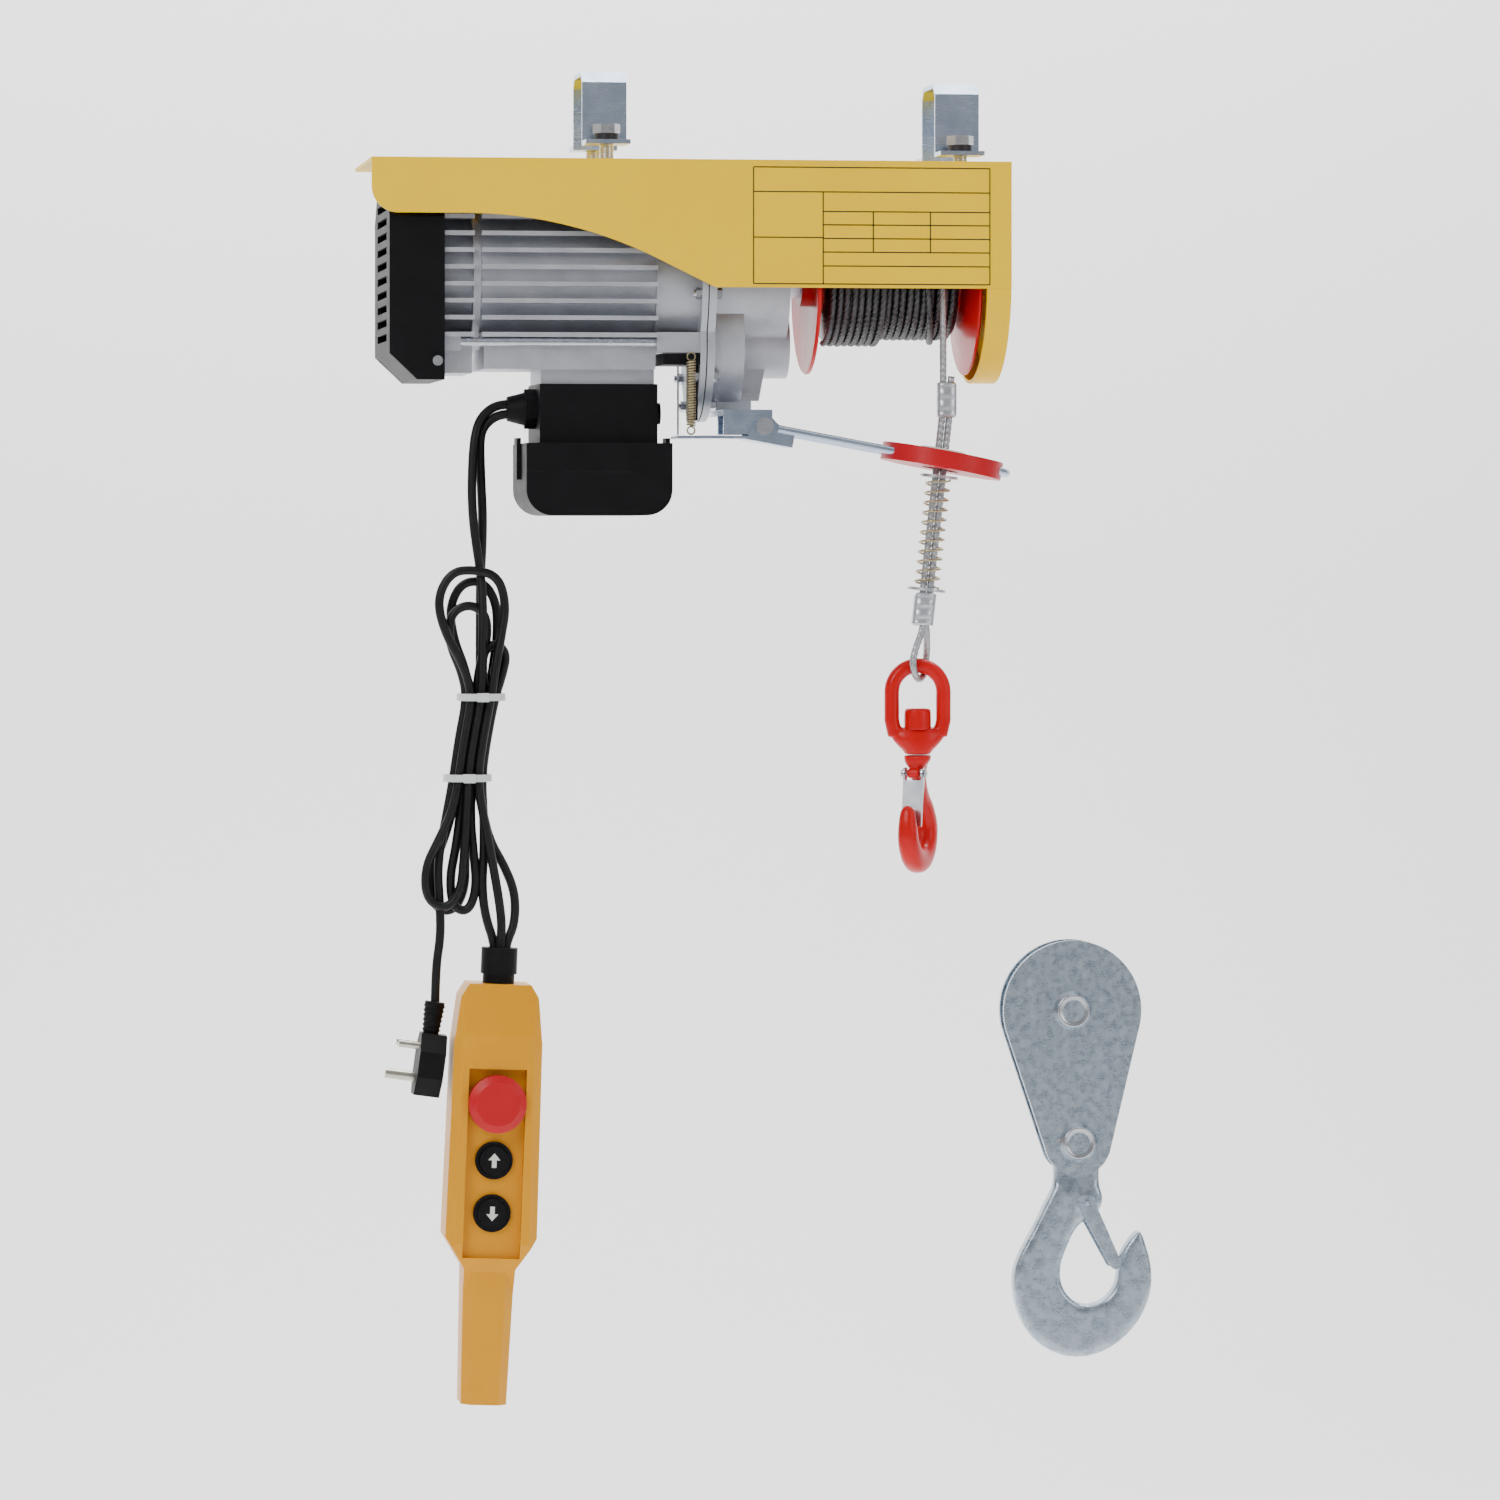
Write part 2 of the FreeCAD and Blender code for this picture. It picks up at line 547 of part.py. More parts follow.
case_bolts = []
for y, z in CASE_BOLTS:
    height = AXIS + " " + z
    case_bolts += [fuse(rod("X", "case_bolt_r", "-flange_left - 6", str(y), height, "18"),
                        hexagon("X", "7", "-flange_right", str(y), height, 4)),
                   cut(hexagon("X", "7", "-flange_left - 4", str(y), height, 4),
                       rod("X", "case_bolt_r", "-flange_left - 5", str(y), height, 6))]
node("gearbox_bolts", group(*case_bolts))

# The gears mesh below the drum axis and above the lay shaft: a pinion's gap faces down at turn 0.
lay_z = size(LAY)
gear_width = size("flange_right - case_step - 5")
half_turn = math.pi
first_wheel = involute_gear(fast, FAST_WHEEL, -SHIFT, size("shaft_r"), gear_width,
                            half_turn + math.pi / FAST_WHEEL)
first_wheel.translate(Vec(size("-flange_right") + 0.5, 0, lay_z))
node("lay_gear", shaped(first_wheel))

SLOW_X = -25.0
slow_width = 15.0
second_pinion = involute_gear(slow, SLOW_TEETH, SHIFT, 0, slow_width, half_turn)
second_pinion.translate(Vec(SLOW_X, 0, lay_z))
node("lay_shaft", fuse(shaped(second_pinion),
                       rod("X", "shaft_r - run_gap", "-split", 0, LAY, "10"),
                       rod("X", "shaft_r", "-split + 6", 0, LAY, "split - 6 - 25.5"),
                       rod("X", 6, "-26", 0, LAY, 17),
                       rod("X", "shaft_r - run_gap", "-9.5", 0, LAY, 11.5)))
second_wheel = involute_gear(slow, SLOW_WHEEL, -SHIFT, size("drum_shaft_r"), slow_width,
                             math.pi / SLOW_WHEEL)
second_wheel.translate(Vec(SLOW_X, 0, size(AXIS)))
node("drum_gear", shaped(second_wheel))


def bearing(outer, bore, x, z, width):
    """A sealed bearing: its two rings and the seal between, carried by the bore of its seat."""
    return tube("X", outer, bore, x, 0, z, width)


node("ball_bearings", group(
    bearing("bearing_r", "shaft_r", "-shield_left + 3", AXIS, "bearing"),
    bearing("bearing_r", "shaft_r", "-flange_left - 8", AXIS, "bearing"),
    bearing("bearing_r - 3.5", "shaft_r", "-split - 3", LAY, "3"),
    bearing("bearing_r", "shaft_r", "-9", LAY, "bearing"),
    bearing("drum_bearing_r", "drum_shaft_r", "case_right - drum_bearing", AXIS, "drum_bearing"),
    bearing("drum_bearing_r", "drum_shaft_r", "house_right - sheet - drum_bearing", AXIS, "drum_bearing")))

# ---------------------------------------------------------------- drum and rope

node("drum_shaft", fuse(
    rod("X", "drum_shaft_r - run_gap", "-10", 0, AXIS, "house_right - sheet - 1 + 10"),
    rod("X", "drum_shaft_r", "-25", 0, AXIS, 16),
    rod("X", "drum_shaft_r", "case_right + 2", 0, AXIS,
        "house_right - sheet - drum_bearing - 2 - case_right - 2")))
hub = "drum_shaft_r + 6"
node("drum", turned("X", [
    ("drum_left - 4", "drum_shaft_r"), ("drum_left - 4", hub), ("drum_left + 4.5", hub),
    ("drum_left", "drum_flange_r - 1"), ("drum_left + 1", "drum_flange_r"),
    ("drum_left + 2.5", "drum_flange_r"), ("drum_root", "drum_r"), ("drum_root_right", "drum_r"),
    ("drum_right - 2.5", "drum_flange_r"), ("drum_right - 1", "drum_flange_r"),
    ("drum_right", "drum_flange_r - 1"), ("drum_right - 4.5", hub), ("drum_right + 2", hub),
    ("drum_right + 2", "drum_shaft_r"),
], 0, 0, AXIS))
node("rope_winding", turned("X", [
    ("drum_root + 1", "drum_r"), ("drum_root + 2.6", "wound_r - 4"), ("drum_root + 4", "wound_r"),
    ("drum_root + 5", "wound_r + 4.5"), ("75", "wound_r + 4.5"), ("77", "wound_r"),
    ("drum_root_right - 4", "wound_r"), ("drum_root_right - 2.6", "wound_r - 4"),
    ("drum_root_right - 1", "drum_r"),
], 0, 0, AXIS))
node("rope_fall", rod("Z", "rope_r", "fall_x", FALL_Y, "-ferrule_top", "ferrule_top + (%s)" % AXIS))

# ---------------------------------------------------------------- hanging rope, ferrules, buffer spring

LOW_FERRULE = (99.3, -324.0)
HIGH_FERRULE = (113.1, -201.4)
fall_y = size(FALL_Y)
lean = math.degrees(math.atan2(HIGH_FERRULE[0] - LOW_FERRULE[0], HIGH_FERRULE[1] - LOW_FERRULE[1]))
rope_r = size("rope_r")


def along(x, z, out=0.0):
    """A point of the hanging rope's plane, out towards the side of the dead end."""
    return Vec(x + out, fall_y, z)


def oval_sleeve(x, z, height, half_wide, half_deep, tilt):
    """A pressed oval ferrule standing on z."""
    flat = half_wide - half_deep
    face = Part.Face(Part.Wire([
        Part.LineSegment(Vec(-flat, -half_deep, 0), Vec(flat, -half_deep, 0)).toShape(),
        Part.Arc(Vec(flat, -half_deep, 0), Vec(half_wide, 0, 0), Vec(flat, half_deep, 0)).toShape(),
        Part.LineSegment(Vec(flat, half_deep, 0), Vec(-flat, half_deep, 0)).toShape(),
        Part.Arc(Vec(-flat, half_deep, 0), Vec(-half_wide, 0, 0), Vec(-flat, -half_deep, 0)).toShape(),
    ]))
    sleeve = face.extrude(Vec(0, 0, height))
    sleeve.rotate(Vec(), Vec(0, 1, 0), tilt)
    sleeve.translate(Vec(x, fall_y, z))
    return sleeve


eye_x = size("hook_x")
link_top = size("-link_top")
link_r = size("link_r")
twin = []
for side_out in (-rope_r - 0.05, rope_r + 0.05):
    high = along(*HIGH_FERRULE, side_out)
    low = along(*LOW_FERRULE, side_out)
    twin.append(Part.makeCylinder(rope_r, (high - low).Length, low, high - low))
eye_r = link_r + rope_r + 0.6
eye_low = link_top - link_r
loop_points = [
    Vec(eye_x + 3.5, fall_y - 1.5, -345), Vec(eye_x, fall_y - eye_r - 2, -360),
    Vec(eye_x, fall_y - eye_r - 1, eye_low - eye_r), Vec(eye_x, fall_y + eye_r + 1, eye_low - eye_r - 0.01),
    Vec(eye_x, fall_y + eye_r + 2, -360), Vec(eye_x + 3.5, fall_y + 1.5, -345),
]
eye, _, _ = bar_along(loop_points, rope_r, 0.49)
stub_x = size("fall_x + 2 * rope_r") + 0.4
stub = Part.makeCylinder(rope_r, 5, Vec(stub_x, fall_y, -177.9), Vec(0.08, 0, 1))
node("hook_rope", shaped(Part.Compound(twin + [eye, stub])))

ferrules = Part.Compound([
    oval_sleeve(HIGH_FERRULE[0], HIGH_FERRULE[1], 23.8, 6.3, 4.3, 0),
    oval_sleeve(eye_x + 4, -346, 22, 7, 4.8, lean)])
spring_tilt = FreeCAD.Rotation(Vec(0, 1, 0), lean)
spring_foot = Vec(99.3, fall_y, -322.5)


def on_fall(shape):
    """Set a piece that was made about Z with its foot at the origin on the leaning rope."""
    shape.Placement = FreeCAD.Placement(spring_foot, spring_tilt).multiply(shape.Placement)
    return shape


ring_low = Part.makeCylinder(13.5, 2).cut(Part.makeCylinder(6.5, 2))
ring_high = Part.makeCylinder(13.5, 2, Vec(0, 0, 79)).cut(Part.makeCylinder(6.5, 2, Vec(0, 0, 79)))
node("rope_fittings", group(
    shaped(ferrules), shaped(on_fall(ring_low)), shaped(on_fall(ring_high))))
node("buffer_spring", shaped(on_fall(coil_spring(8.2, 0.8, 11, 2, 79))))

# ---------------------------------------------------------------- link, red hook and its latch

LINK_MID = size("-(link_top + link_low) / 2")
link_half = size("link_half - link_r")
link_tall = size("(link_low - link_top) / 2 - link_r")
arch = link_tall - link_half
link_wire = Part.Wire([
    Part.LineSegment(Vec(-link_half, 0, -arch), Vec(-link_half, 0, arch)).toShape(),
    Part.Arc(Vec(-link_half, 0, arch), Vec(0, 0, arch + link_half), Vec(link_half, 0, arch)).toShape(),
    Part.LineSegment(Vec(link_half, 0, arch), Vec(link_half, 0, -arch)).toShape(),
    Part.Arc(Vec(link_half, 0, -arch), Vec(0, 0, -arch - link_half), Vec(-link_half, 0, -arch)).toShape()])
link_bar = swept(link_wire, link_r, Vec(-link_half, 0, -arch), Vec(0, 0, 1))
boss = Part.makeCylinder(9.5, 15, Vec(0, 0, size("-link_low") - LINK_MID))
stem_hole = Part.makeCylinder(size("stem_r + pin_gap"), 40, Vec(0, 0, -link_tall - 20))
link = link_bar.fuse(boss).cut(stem_hole)
link.translate(Vec(eye_x, fall_y, LINK_MID))
node("hook_link", shaped(link))

link_low = size("-link_low")
BOWL_Z = link_low - 51.0
bowl_inner, bowl_outer, hook_half = 13.5, 29.0, 7.5


def hook_face():
    """The red hook's side outline, in Y and Z about the stem: shank, bowl and a tip towards -Y."""
    top = link_low - 12
    tip = BOWL_Z + 17
    points = [
        Vec(0, 8, top), Vec(0, 11, top - 8), Vec(0, 20, BOWL_Z + 19), Vec(0, bowl_outer, BOWL_Z),
        Vec(0, 19, BOWL_Z - 24), Vec(0, -2, BOWL_Z - 31.5), Vec(0, -22, BOWL_Z - 22),
        Vec(0, -bowl_outer, BOWL_Z), Vec(0, -28, tip - 3), Vec(0, -23, tip), Vec(0, -18, tip - 6),
        Vec(0, -bowl_inner - 2, BOWL_Z), Vec(0, -9, BOWL_Z - 10), Vec(0, 1, BOWL_Z - bowl_inner),
        Vec(0, 10, BOWL_Z - 9), Vec(0, bowl_inner, BOWL_Z + 1), Vec(0, 7, BOWL_Z + 13),
        Vec(0, -3, BOWL_Z + 21), Vec(0, -8, top - 8), Vec(0, -8, top),
    ]
    curve = Part.BSplineCurve()
    curve.interpolate(points)
    edge = Part.LineSegment(points[-1], points[0]).toShape()
    return Part.Face(Part.Wire([curve.toShape(), edge]))


hook_plate = hook_face().extrude(Vec(2 * hook_half, 0, 0))
hook_plate.translate(Vec(-hook_half, 0, 0))
stem_r = size("stem_r")
stem = Part.makeCylinder(stem_r, 38, Vec(0, 0, link_low - 14.5))
neck = Part.makeCylinder(9.5, 12.7, Vec(0, 0, link_low - 13))
nut = Part.makeCylinder(9.5, 17.5, Vec(0, 0, link_low + 15.3))
hook_turn = -27.0
lug_half = 4.5
hinge_y, hinge_z = -8.0, link_low - 13.0
hinge_pin_r = 1.5
lug = Part.makeCylinder(3.6, 2 * lug_half, Vec(-lug_half, hinge_y, hinge_z), Vec(1, 0, 0))
lug = lug.fuse(Part.makeBox(2 * lug_half, 8, 7.2, Vec(-lug_half, hinge_y, hinge_z - 3.6)))
hook_solid = hook_plate.fuse([stem, neck, nut])
for side in (-1, 1):
    flat = Part.makeBox(12, 24, 29, Vec(lug_half if side > 0 else -lug_half - 12, -21, link_low - 36))
    hook_solid = hook_solid.cut(flat)
hook_solid = hook_solid.cut(Part.makeBox(40, 17.5, 18.8, Vec(-20, -21, link_low - 36)))


def on_hook(shape):
    shape.rotate(Vec(), Vec(0, 0, 1), hook_turn)
    shape.translate(Vec(eye_x, fall_y, 0))
    return shape


latch_pin = Part.makeCylinder(hinge_pin_r, 18, Vec(-9, hinge_y, hinge_z), Vec(1, 0, 0))
node("red_hook", shaped(on_hook(hook_solid.fuse([lug, latch_pin]))))

# the latch is a sheet channel that hangs from the hook's lug and rests inside the tip
latch_half, latch_sheet, latch_long = 7.2, 1.4, 37.0
latch_hang = 7.5
flange_edge = [Vec(-latch_half, y, z) for y, z in (
    (-2.2, 0), (3.2, 0), (2.6, -8), (0.6, -18), (0, -latch_long), (-2.2, -latch_long))]
flange_blank = Part.Face(Part.makePolygon(flange_edge + flange_edge[:1])).extrude(Vec(2 * latch_half, 0, 0))
ear_blank = Part.makeCylinder(4.2, 2 * latch_half, Vec(-latch_half, 0, 0), Vec(1, 0, 0))
channel_hollow = Part.makeBox(2 * (latch_half - latch_sheet), 12, latch_long + 12,
                              Vec(latch_sheet - latch_half, latch_sheet - 2.2, -latch_long - 6))
lug_way = Part.makeBox(2 * (latch_half - latch_sheet), 14, 12, Vec(latch_sheet - latch_half, -7, -5))
latch_bore = Part.makeCylinder(hinge_pin_r + size("pin_gap"), 40, Vec(-20, 0, 0), Vec(1, 0, 0))
latch_body = flange_blank.fuse(ear_blank).cut([channel_hollow, lug_way, latch_bore])
latch_body.rotate(Vec(), Vec(1, 0, 0), -latch_hang)
latch_body.translate(Vec(0, hinge_y, hinge_z))
node("red_hook_latch", shaped(on_hook(latch_body)))

# ---------------------------------------------------------------- limit arm, its bracket and switch

PIVOT = Vec(size("-pivot_x"), fall_y, size("-pivot_drop"))
slope = size("arm_slope")
arm_half = size("arm_half")
arm_rod = size("arm_rod_r")
reach = size("arm_end + pivot_x") / math.cos(math.radians(slope))
bar_wire = Part.Wire([
    Part.LineSegment(Vec(10, -arm_half, 0), Vec(reach - 14, -arm_half, 0)).toShape(),
    Part.Arc(Vec(reach - 14, -arm_half, 0), Vec(reach - 4.1, -arm_half + 4.1, 0),
             Vec(reach, -arm_half + 14, 0)).toShape(),
    Part.LineSegment(Vec(reach, -arm_half + 14, 0), Vec(reach, arm_half - 14, 0)).toShape(),
    Part.Arc(Vec(reach, arm_half - 14, 0), Vec(reach - 4.1, arm_half - 4.1, 0),
             Vec(reach - 14, arm_half, 0)).toShape(),
    Part.LineSegment(Vec(reach - 14, arm_half, 0), Vec(10, arm_half, 0)).toShape()])
bar = swept(bar_wire, arm_rod, Vec(10, -arm_half, 0), Vec(1, 0, 0))
pin_hole = Part.makeCylinder(size("pin_r + pin_gap"), 60, Vec(0, -30, 0), Vec(0, 1, 0))
saddle_t = size("saddle")


def strip(points, low_y, deep_y):
    """A flat outline in X and Z, in the arm's own frame, extruded from low_y towards the back."""
    ring = [Vec(x, low_y, z) for x, z in points]
    return Part.Face(Part.makePolygon(ring + ring[:1])).extrude(Vec(0, deep_y, 0))


# The saddle is bent sheet: two three-cornered ears on the pivot and a floor that runs on as the lever.
ear_side = [(-10, -9), (-6, 5), (-3, 8), (3, 8), (8, 4), (22, -3), (22, -9)]
saddle = [strip(ear_side, y, saddle_t) for y in (-arm_half - saddle_t / 2, arm_half - saddle_t / 2)]
floor_line = [(22, -9), (-12, -9), (-32, -12.5), (-58, -17.5)]
floor_under = [(x, z - saddle_t) for x, z in reversed(floor_line)]
lever = strip(floor_line + floor_under, -arm_half - saddle_t / 2, 2 * arm_half + saddle_t)
arm = bar.fuse(saddle + [lever]).cut(pin_hole)


def on_arm(shape):
    """Set a piece made along +X from the pivot on the sloping arm."""
    shape.rotate(Vec(), Vec(0, 1, 0), slope)
    shape.translate(PIVOT)
    return shape


def arm_spot(x, z):
    """Where a point of the arm's own frame stands at rest."""
    turn = math.radians(slope)
    return Vec(PIVOT.x + x * math.cos(turn) + z * math.sin(turn), fall_y - arm_half,
               PIVOT.z - x * math.sin(turn) + z * math.cos(turn))


disc_along = (size("fall_x") - 1 - PIVOT.x) / math.cos(math.radians(slope))
disc = Part.makeCylinder(size("disc_r"), size("disc"), Vec(disc_along, 0, size("-disc / 2")))
disc = disc.cut([bar, Part.makeCylinder(size("disc_bore"), 40, Vec(disc_along, 0, -20))])
node("limit_arm", shaped(on_arm(arm)))
node("limit_disc", shaped(on_arm(disc)))

foot_top = size(LAY + " - 47")
inner_half = arm_half - saddle_t / 2 - size("side_gap")
roof = Part.makeBox(17, 26 - fall_y + inner_half, 4, Vec(PIVOT.x - 28, fall_y - inner_half, foot_top - 4))
bracket_ears = []
for y in (-inner_half, inner_half - 3):
    ear = Part.makeCylinder(6.5, 3, Vec(PIVOT.x, fall_y + y, PIVOT.z), Vec(0, 1, 0))
    ear = ear.fuse(Part.makeBox(34, 3, foot_top - PIVOT.z + 5.5, Vec(PIVOT.x - 28, fall_y + y, PIVOT.z - 5.5)))
    bracket_ears.append(ear)
pin_way = Part.makeCylinder(size("pin_r"), 60, Vec(PIVOT.x, fall_y - 30, PIVOT.z), Vec(0, 1, 0))
node("arm_bracket", shaped(roof.fuse(bracket_ears).cut(pin_way)))
pivot_screw = Part.makeCylinder(size("pin_r"), 2 * arm_half + 8, Vec(PIVOT.x, fall_y - arm_half - 4, PIVOT.z),
                                Vec(0, 1, 0))
pivot_head = Part.makeCylinder(6, 3, Vec(PIVOT.x, fall_y - arm_half - 4.3, PIVOT.z), Vec(0, 1, 0))
node("small_screws", group(*cover_screws, *case_screws, shaped(pivot_screw.fuse(pivot_head))))

# Spring and wire stand upright on the lever's end, at rest 0.3 mm clear of its sheet.
spring_spot = arm_spot(-48, -15.6)
wire_spot = arm_spot(-56, -17.1)
lever_y = spring_spot.y + 6
spring_low = spring_spot.z + 0.5
spring_high = size(AXIS) - 53.0
coil = coil_spring(2.8, 0.6, 24, spring_low + 6, spring_high - 5)
coil.translate(Vec(spring_spot.x, lever_y, 0))
spring_eyes = [Part.makeTorus(2.6, 0.6, Vec(spring_spot.x, lever_y, z), Vec(0, 1, 0))
               for z in (spring_low + 3.2, spring_high - 2.4)]
node("limit_spring", shaped(Part.Compound([coil] + spring_eyes)))
wire_length = spring_high - wire_spot.z - 8.9
node("limit_wire", shaped(Part.makeCylinder(0.7, wire_length, Vec(wire_spot.x, lever_y + 8, wire_spot.z + 0.6))))
flange_x = size("-flange_left")
switch_arm = Part.makeBox(26, 46, 8, Vec(flange_x - 26, lever_y + 4.5, spring_high - 8))
switch_drop = Part.makeBox(7, 9, 42, Vec(flange_x - 7, lever_y + 18, spring_high - 46))
spring_stud = Part.makeCylinder(1.9, 7, Vec(spring_spot.x, lever_y - 1.5, spring_high - 2.4), Vec(0, 1, 0))
node("limit_switch", shaped(switch_arm.fuse([switch_drop, spring_stud])))

# ---------------------------------------------------------------- junction box, gland and plug

BOX_TOP = AXIS + " - 74"
upper_box = cut(box("-170", "-38", BOX_TOP + " - 41", 82, 76, 41),
                box("-167", "-35", BOX_TOP + " - 42", 76, 70, 39))
wide_box = cut(box("-180", "-46", "-240", 101.5, 92, 20), box("-177", "-43", "-241", 95.5, 86, 18))
way = rod("Z", 12, "-130", 0, BOX_TOP + " - 10", 20)
gland_hole = rod("X", 9, "-175", "-10", "-196", 20)
plug_hole = rod("X", 6, "-95", "-10", "-199", 20)
shoulder = cut(box("-170", "-38", "-223", 82, 76, 5), box("-167", "-35", "-224", 76, 70, 7))
node("junction_box", cut(fuse(upper_box, wide_box, shoulder), way, gland_hole, plug_hole,
                         box("-167", "-35", "-226", 76, 70, 10)))

LID_DEEP = "92"
lid_body = new("PartDesign::Body")
lid_sketch = sketch(lid_body, "XZ", [
    ("-180", "-240"), ("-180", "-252", "-18"), ("-162", "-270"), ("-96.5", "-270", "-18"),
    ("-78.5", "-252"), ("-78.5", "-240")], "-46")
lid_pad = lid_body.newObject("PartDesign::Pad", "lid_pad")
lid_pad.Profile = lid_sketch
lid_pad.setExpression("Length", formula(LID_DEEP))
lid_inside = padded("XZ", [
    ("-177", "-239"), ("-177", "-252", "-15"), ("-162", "-267"), ("-96.5", "-267", "-15"),
    ("-81.5", "-252"), ("-81.5", "-239")], "-43", "86")
clips = [fuse(box(x, "-9", "-245", 3, 18, 28), box(x, "-9", "-219", 3, 18, 3)) for x in ("-183", "-78.5")]
node("junction_box_lid", fuse(cut(lid_body, lid_inside), *clips))
node("box_wiring", group(
    rod("X", 14, "-160", "14", "-252.5", 60), box("-160", "-32", "-221", 60, 12, 12)))
gland = fuse(hexagon("X", "24", "-178", "-10", "-196", 8), rod("X", 9, "-178", "-10", "-196", 16),
             cone("X", "8.5", "11.5", "-190", "-10", "-196", 12))
gland_ways = [rod("X", "cord_r", "-195", "-10", z, 40) for z in ("-192.6", "-199.4")]
rubber = fuse(rod("X", 6, "-91", "-10", "-199", 3), rod("X", 7.5, "-88", "-10", "-199", 5))
node("box_glands", group(cut(gland, *gland_ways), rubber))

# ---------------------------------------------------------------- cords

FRONT_CORD = [(-187, -10, -192.6), (-193.5, -10.2, -192.9), (-199.8, -10.8, -195), (-205.2, -11.6, -198.9),
              (-209.2, -12.6, -204.2), (-211.8, -13.6, -211), (-213.6, -14.4, -221), (-214.6, -15, -236),
              (-215, -15, -256), (-213.8, -15, -276), (-211.5, -15, -293), (-208.9, -15, -309)]
BACK_CORD = [(-187, -10, -199.4), (-192.8, -9.9, -199.7), (-198.9, -9.5, -201.9), (-204, -9, -206),
             (-207.4, -8.4, -211.5), (-208.5, -8, -219), (-208.3, -7.5, -232), (-207.6, -7.5, -250),
             (-206.6, -7.6, -270), (-206.8, -7.4, -291), (-207.8, -7.5, -310)]
PLUG_LEAD = [(-231, -15, -540), (-235.6, -15, -561), (-240, -15, -583), (-240.4, -15, -607)]
cord_r = size("cord_r")
for name, route in (("cord_front", FRONT_CORD), ("cord_back", BACK_CORD), ("plug_lead", PLUG_LEAD)):
    points = [Vec(*p) for p in route]
    solid, wire, radii = bar_along(points, cord_r)
    print(name, "radii", [round(r) for r in radii], "length", round(wire.Length),
          "volume over section x length", round(solid.Volume / (math.pi * cord_r ** 2 * wire.Length), 4))
    node(name, shaped(solid))


def oval(x, y, z, half_wide, half_deep):
    if half_wide >= half_deep:
        ring = Part.Ellipse(Vec(x, y, z), half_wide, half_deep)
    else:
        ring = Part.Ellipse(Vec(x, y + half_deep, z), Vec(x + half_wide, y, z), Vec(x, y, z))
    return Part.Wire([ring.toShape()])


HANK = [(-212, -15, -304, 17, 5), (-213.5, -15, -325, 26, 10), (-214, -15, -350, 25, 11),
        (-212, -15, -372, 19, 11), (-208.5, -15, -396, 14.5, 10), (-214, -15, -424, 17, 11),
        (-218, -15, -452, 14.5, 10), (-222, -15, -490, 22, 11), (-226, -15, -515, 24, 11),
        (-226, -15, -536, 20, 8), (-226, -15, -545, 12, 4)]
TAIL = [(-214, -16, -490, 19, 8), (-201, -18, -530, 15, 8), (-196, -20, -569, 12, 5)]
hank = Part.makeLoft([oval(*row) for row in HANK], True, True)
tail = Part.makeLoft([oval(*row) for row in TAIL], True, True)
node("cord_hank", shaped(hank.fuse(tail)))
ties = []
for x, z in ((-208.5, -396.0), (-218.0, -452.0)):
    outer = Part.Face(oval(x, -15, z - 2.5, 17, 12.5)).extrude(Vec(0, 0, 5))
    inner = Part.Face(oval(x, -15, z - 3, 16, 11.5)).extrude(Vec(0, 0, 6))
    block = Part.makeBox(8, 6, 6, Vec(x - 4, -33, z - 3))
    ties.append(outer.fuse(block).cut(inner))
node("cable_ties", shaped(Part.Compound(ties)))

# ---------------------------------------------------------------- mains plug

PLUG_TOP = Vec(-240.5, -15, -607)
plug_tilt = FreeCAD.Rotation(Vec(0, 1, 0), 8)


def on_plug(shape):
    shape.Placement = FreeCAD.Placement(PLUG_TOP, plug_tilt).multiply(shape.Placement)
    return shape


relief = Part.makeCone(5.5, 7, 22, Vec(0, 0, -22))
plug_shape = [Vec(-7, y, z) for y, z in ((-9, -22), (9, -22), (19, -34), (19, -52), (10, -65), (-10, -65),
                                         (-19, -52), (-19, -34))]
plug_block = Part.Face(Part.makePolygon(plug_shape + plug_shape[:1])).extrude(Vec(18, 0, 0))
node("plug_body", shaped(on_plug(relief.fuse(plug_block))))
live = [Part.makeCylinder(2.55, 14.9, Vec(-7, y, -31), Vec(-1, 0, 0)) for y in (-9.55, 9.55)]
earth = Part.makeCylinder(3.55, 20.6, Vec(-7, 0, -53.2), Vec(-1, 0, 0))
node("plug_pins", shaped(on_plug(Part.Compound(live + [earth]))))

# ---------------------------------------------------------------- pendant

PENDANT = Vec(-196, -20, -569)
pendant_turn = FreeCAD.Rotation(Vec(0, 1, 0), size("pendant_lean"))
deep = size("pendant_half_depth")
wall = size("pendant_wall")


def on_pendant(shape):
    """Set a piece made under the gland's top on the hanging pendant."""
    shape.Placement = FreeCAD.Placement(PENDANT, pendant_turn).multiply(shape.Placement)
    return shape


def pendant_side(less, front, back):
    """The pendant's front outline, less in from its edge, made solid from front to back."""
    half = [(21.5, -25), (27, -34), (30.5, -66), (31.8, -200), (17.8, -222), (15.8, -316)]
    right = [Vec(x - less, front, z - less if z == -25 else z) for x, z in half]
    right[-1].z += less
    left = [Vec(-p.x, front, p.z) for p in reversed(right)]
    ring = right + left
    return Part.Face(Part.makePolygon(ring + ring[:1])).extrude(Vec(0, back - front, 0))


def front_slope(less):
    """What lies in front of the pendant's sloping front: flat on the body, set back on the handle."""
    out = [Vec(-60, -80, -10), Vec(-60, -deep + 9 + less, -10), Vec(-60, -deep + less, -60),
           Vec(-60, -deep + less, -204), Vec(-60, -deep + 8 + less, -224),
           Vec(-60, -deep + 10 + less, -330), Vec(-60, -80, -330)]
    return Part.Face(Part.makePolygon(out + out[:1])).extrude(Vec(120, 0, 0))


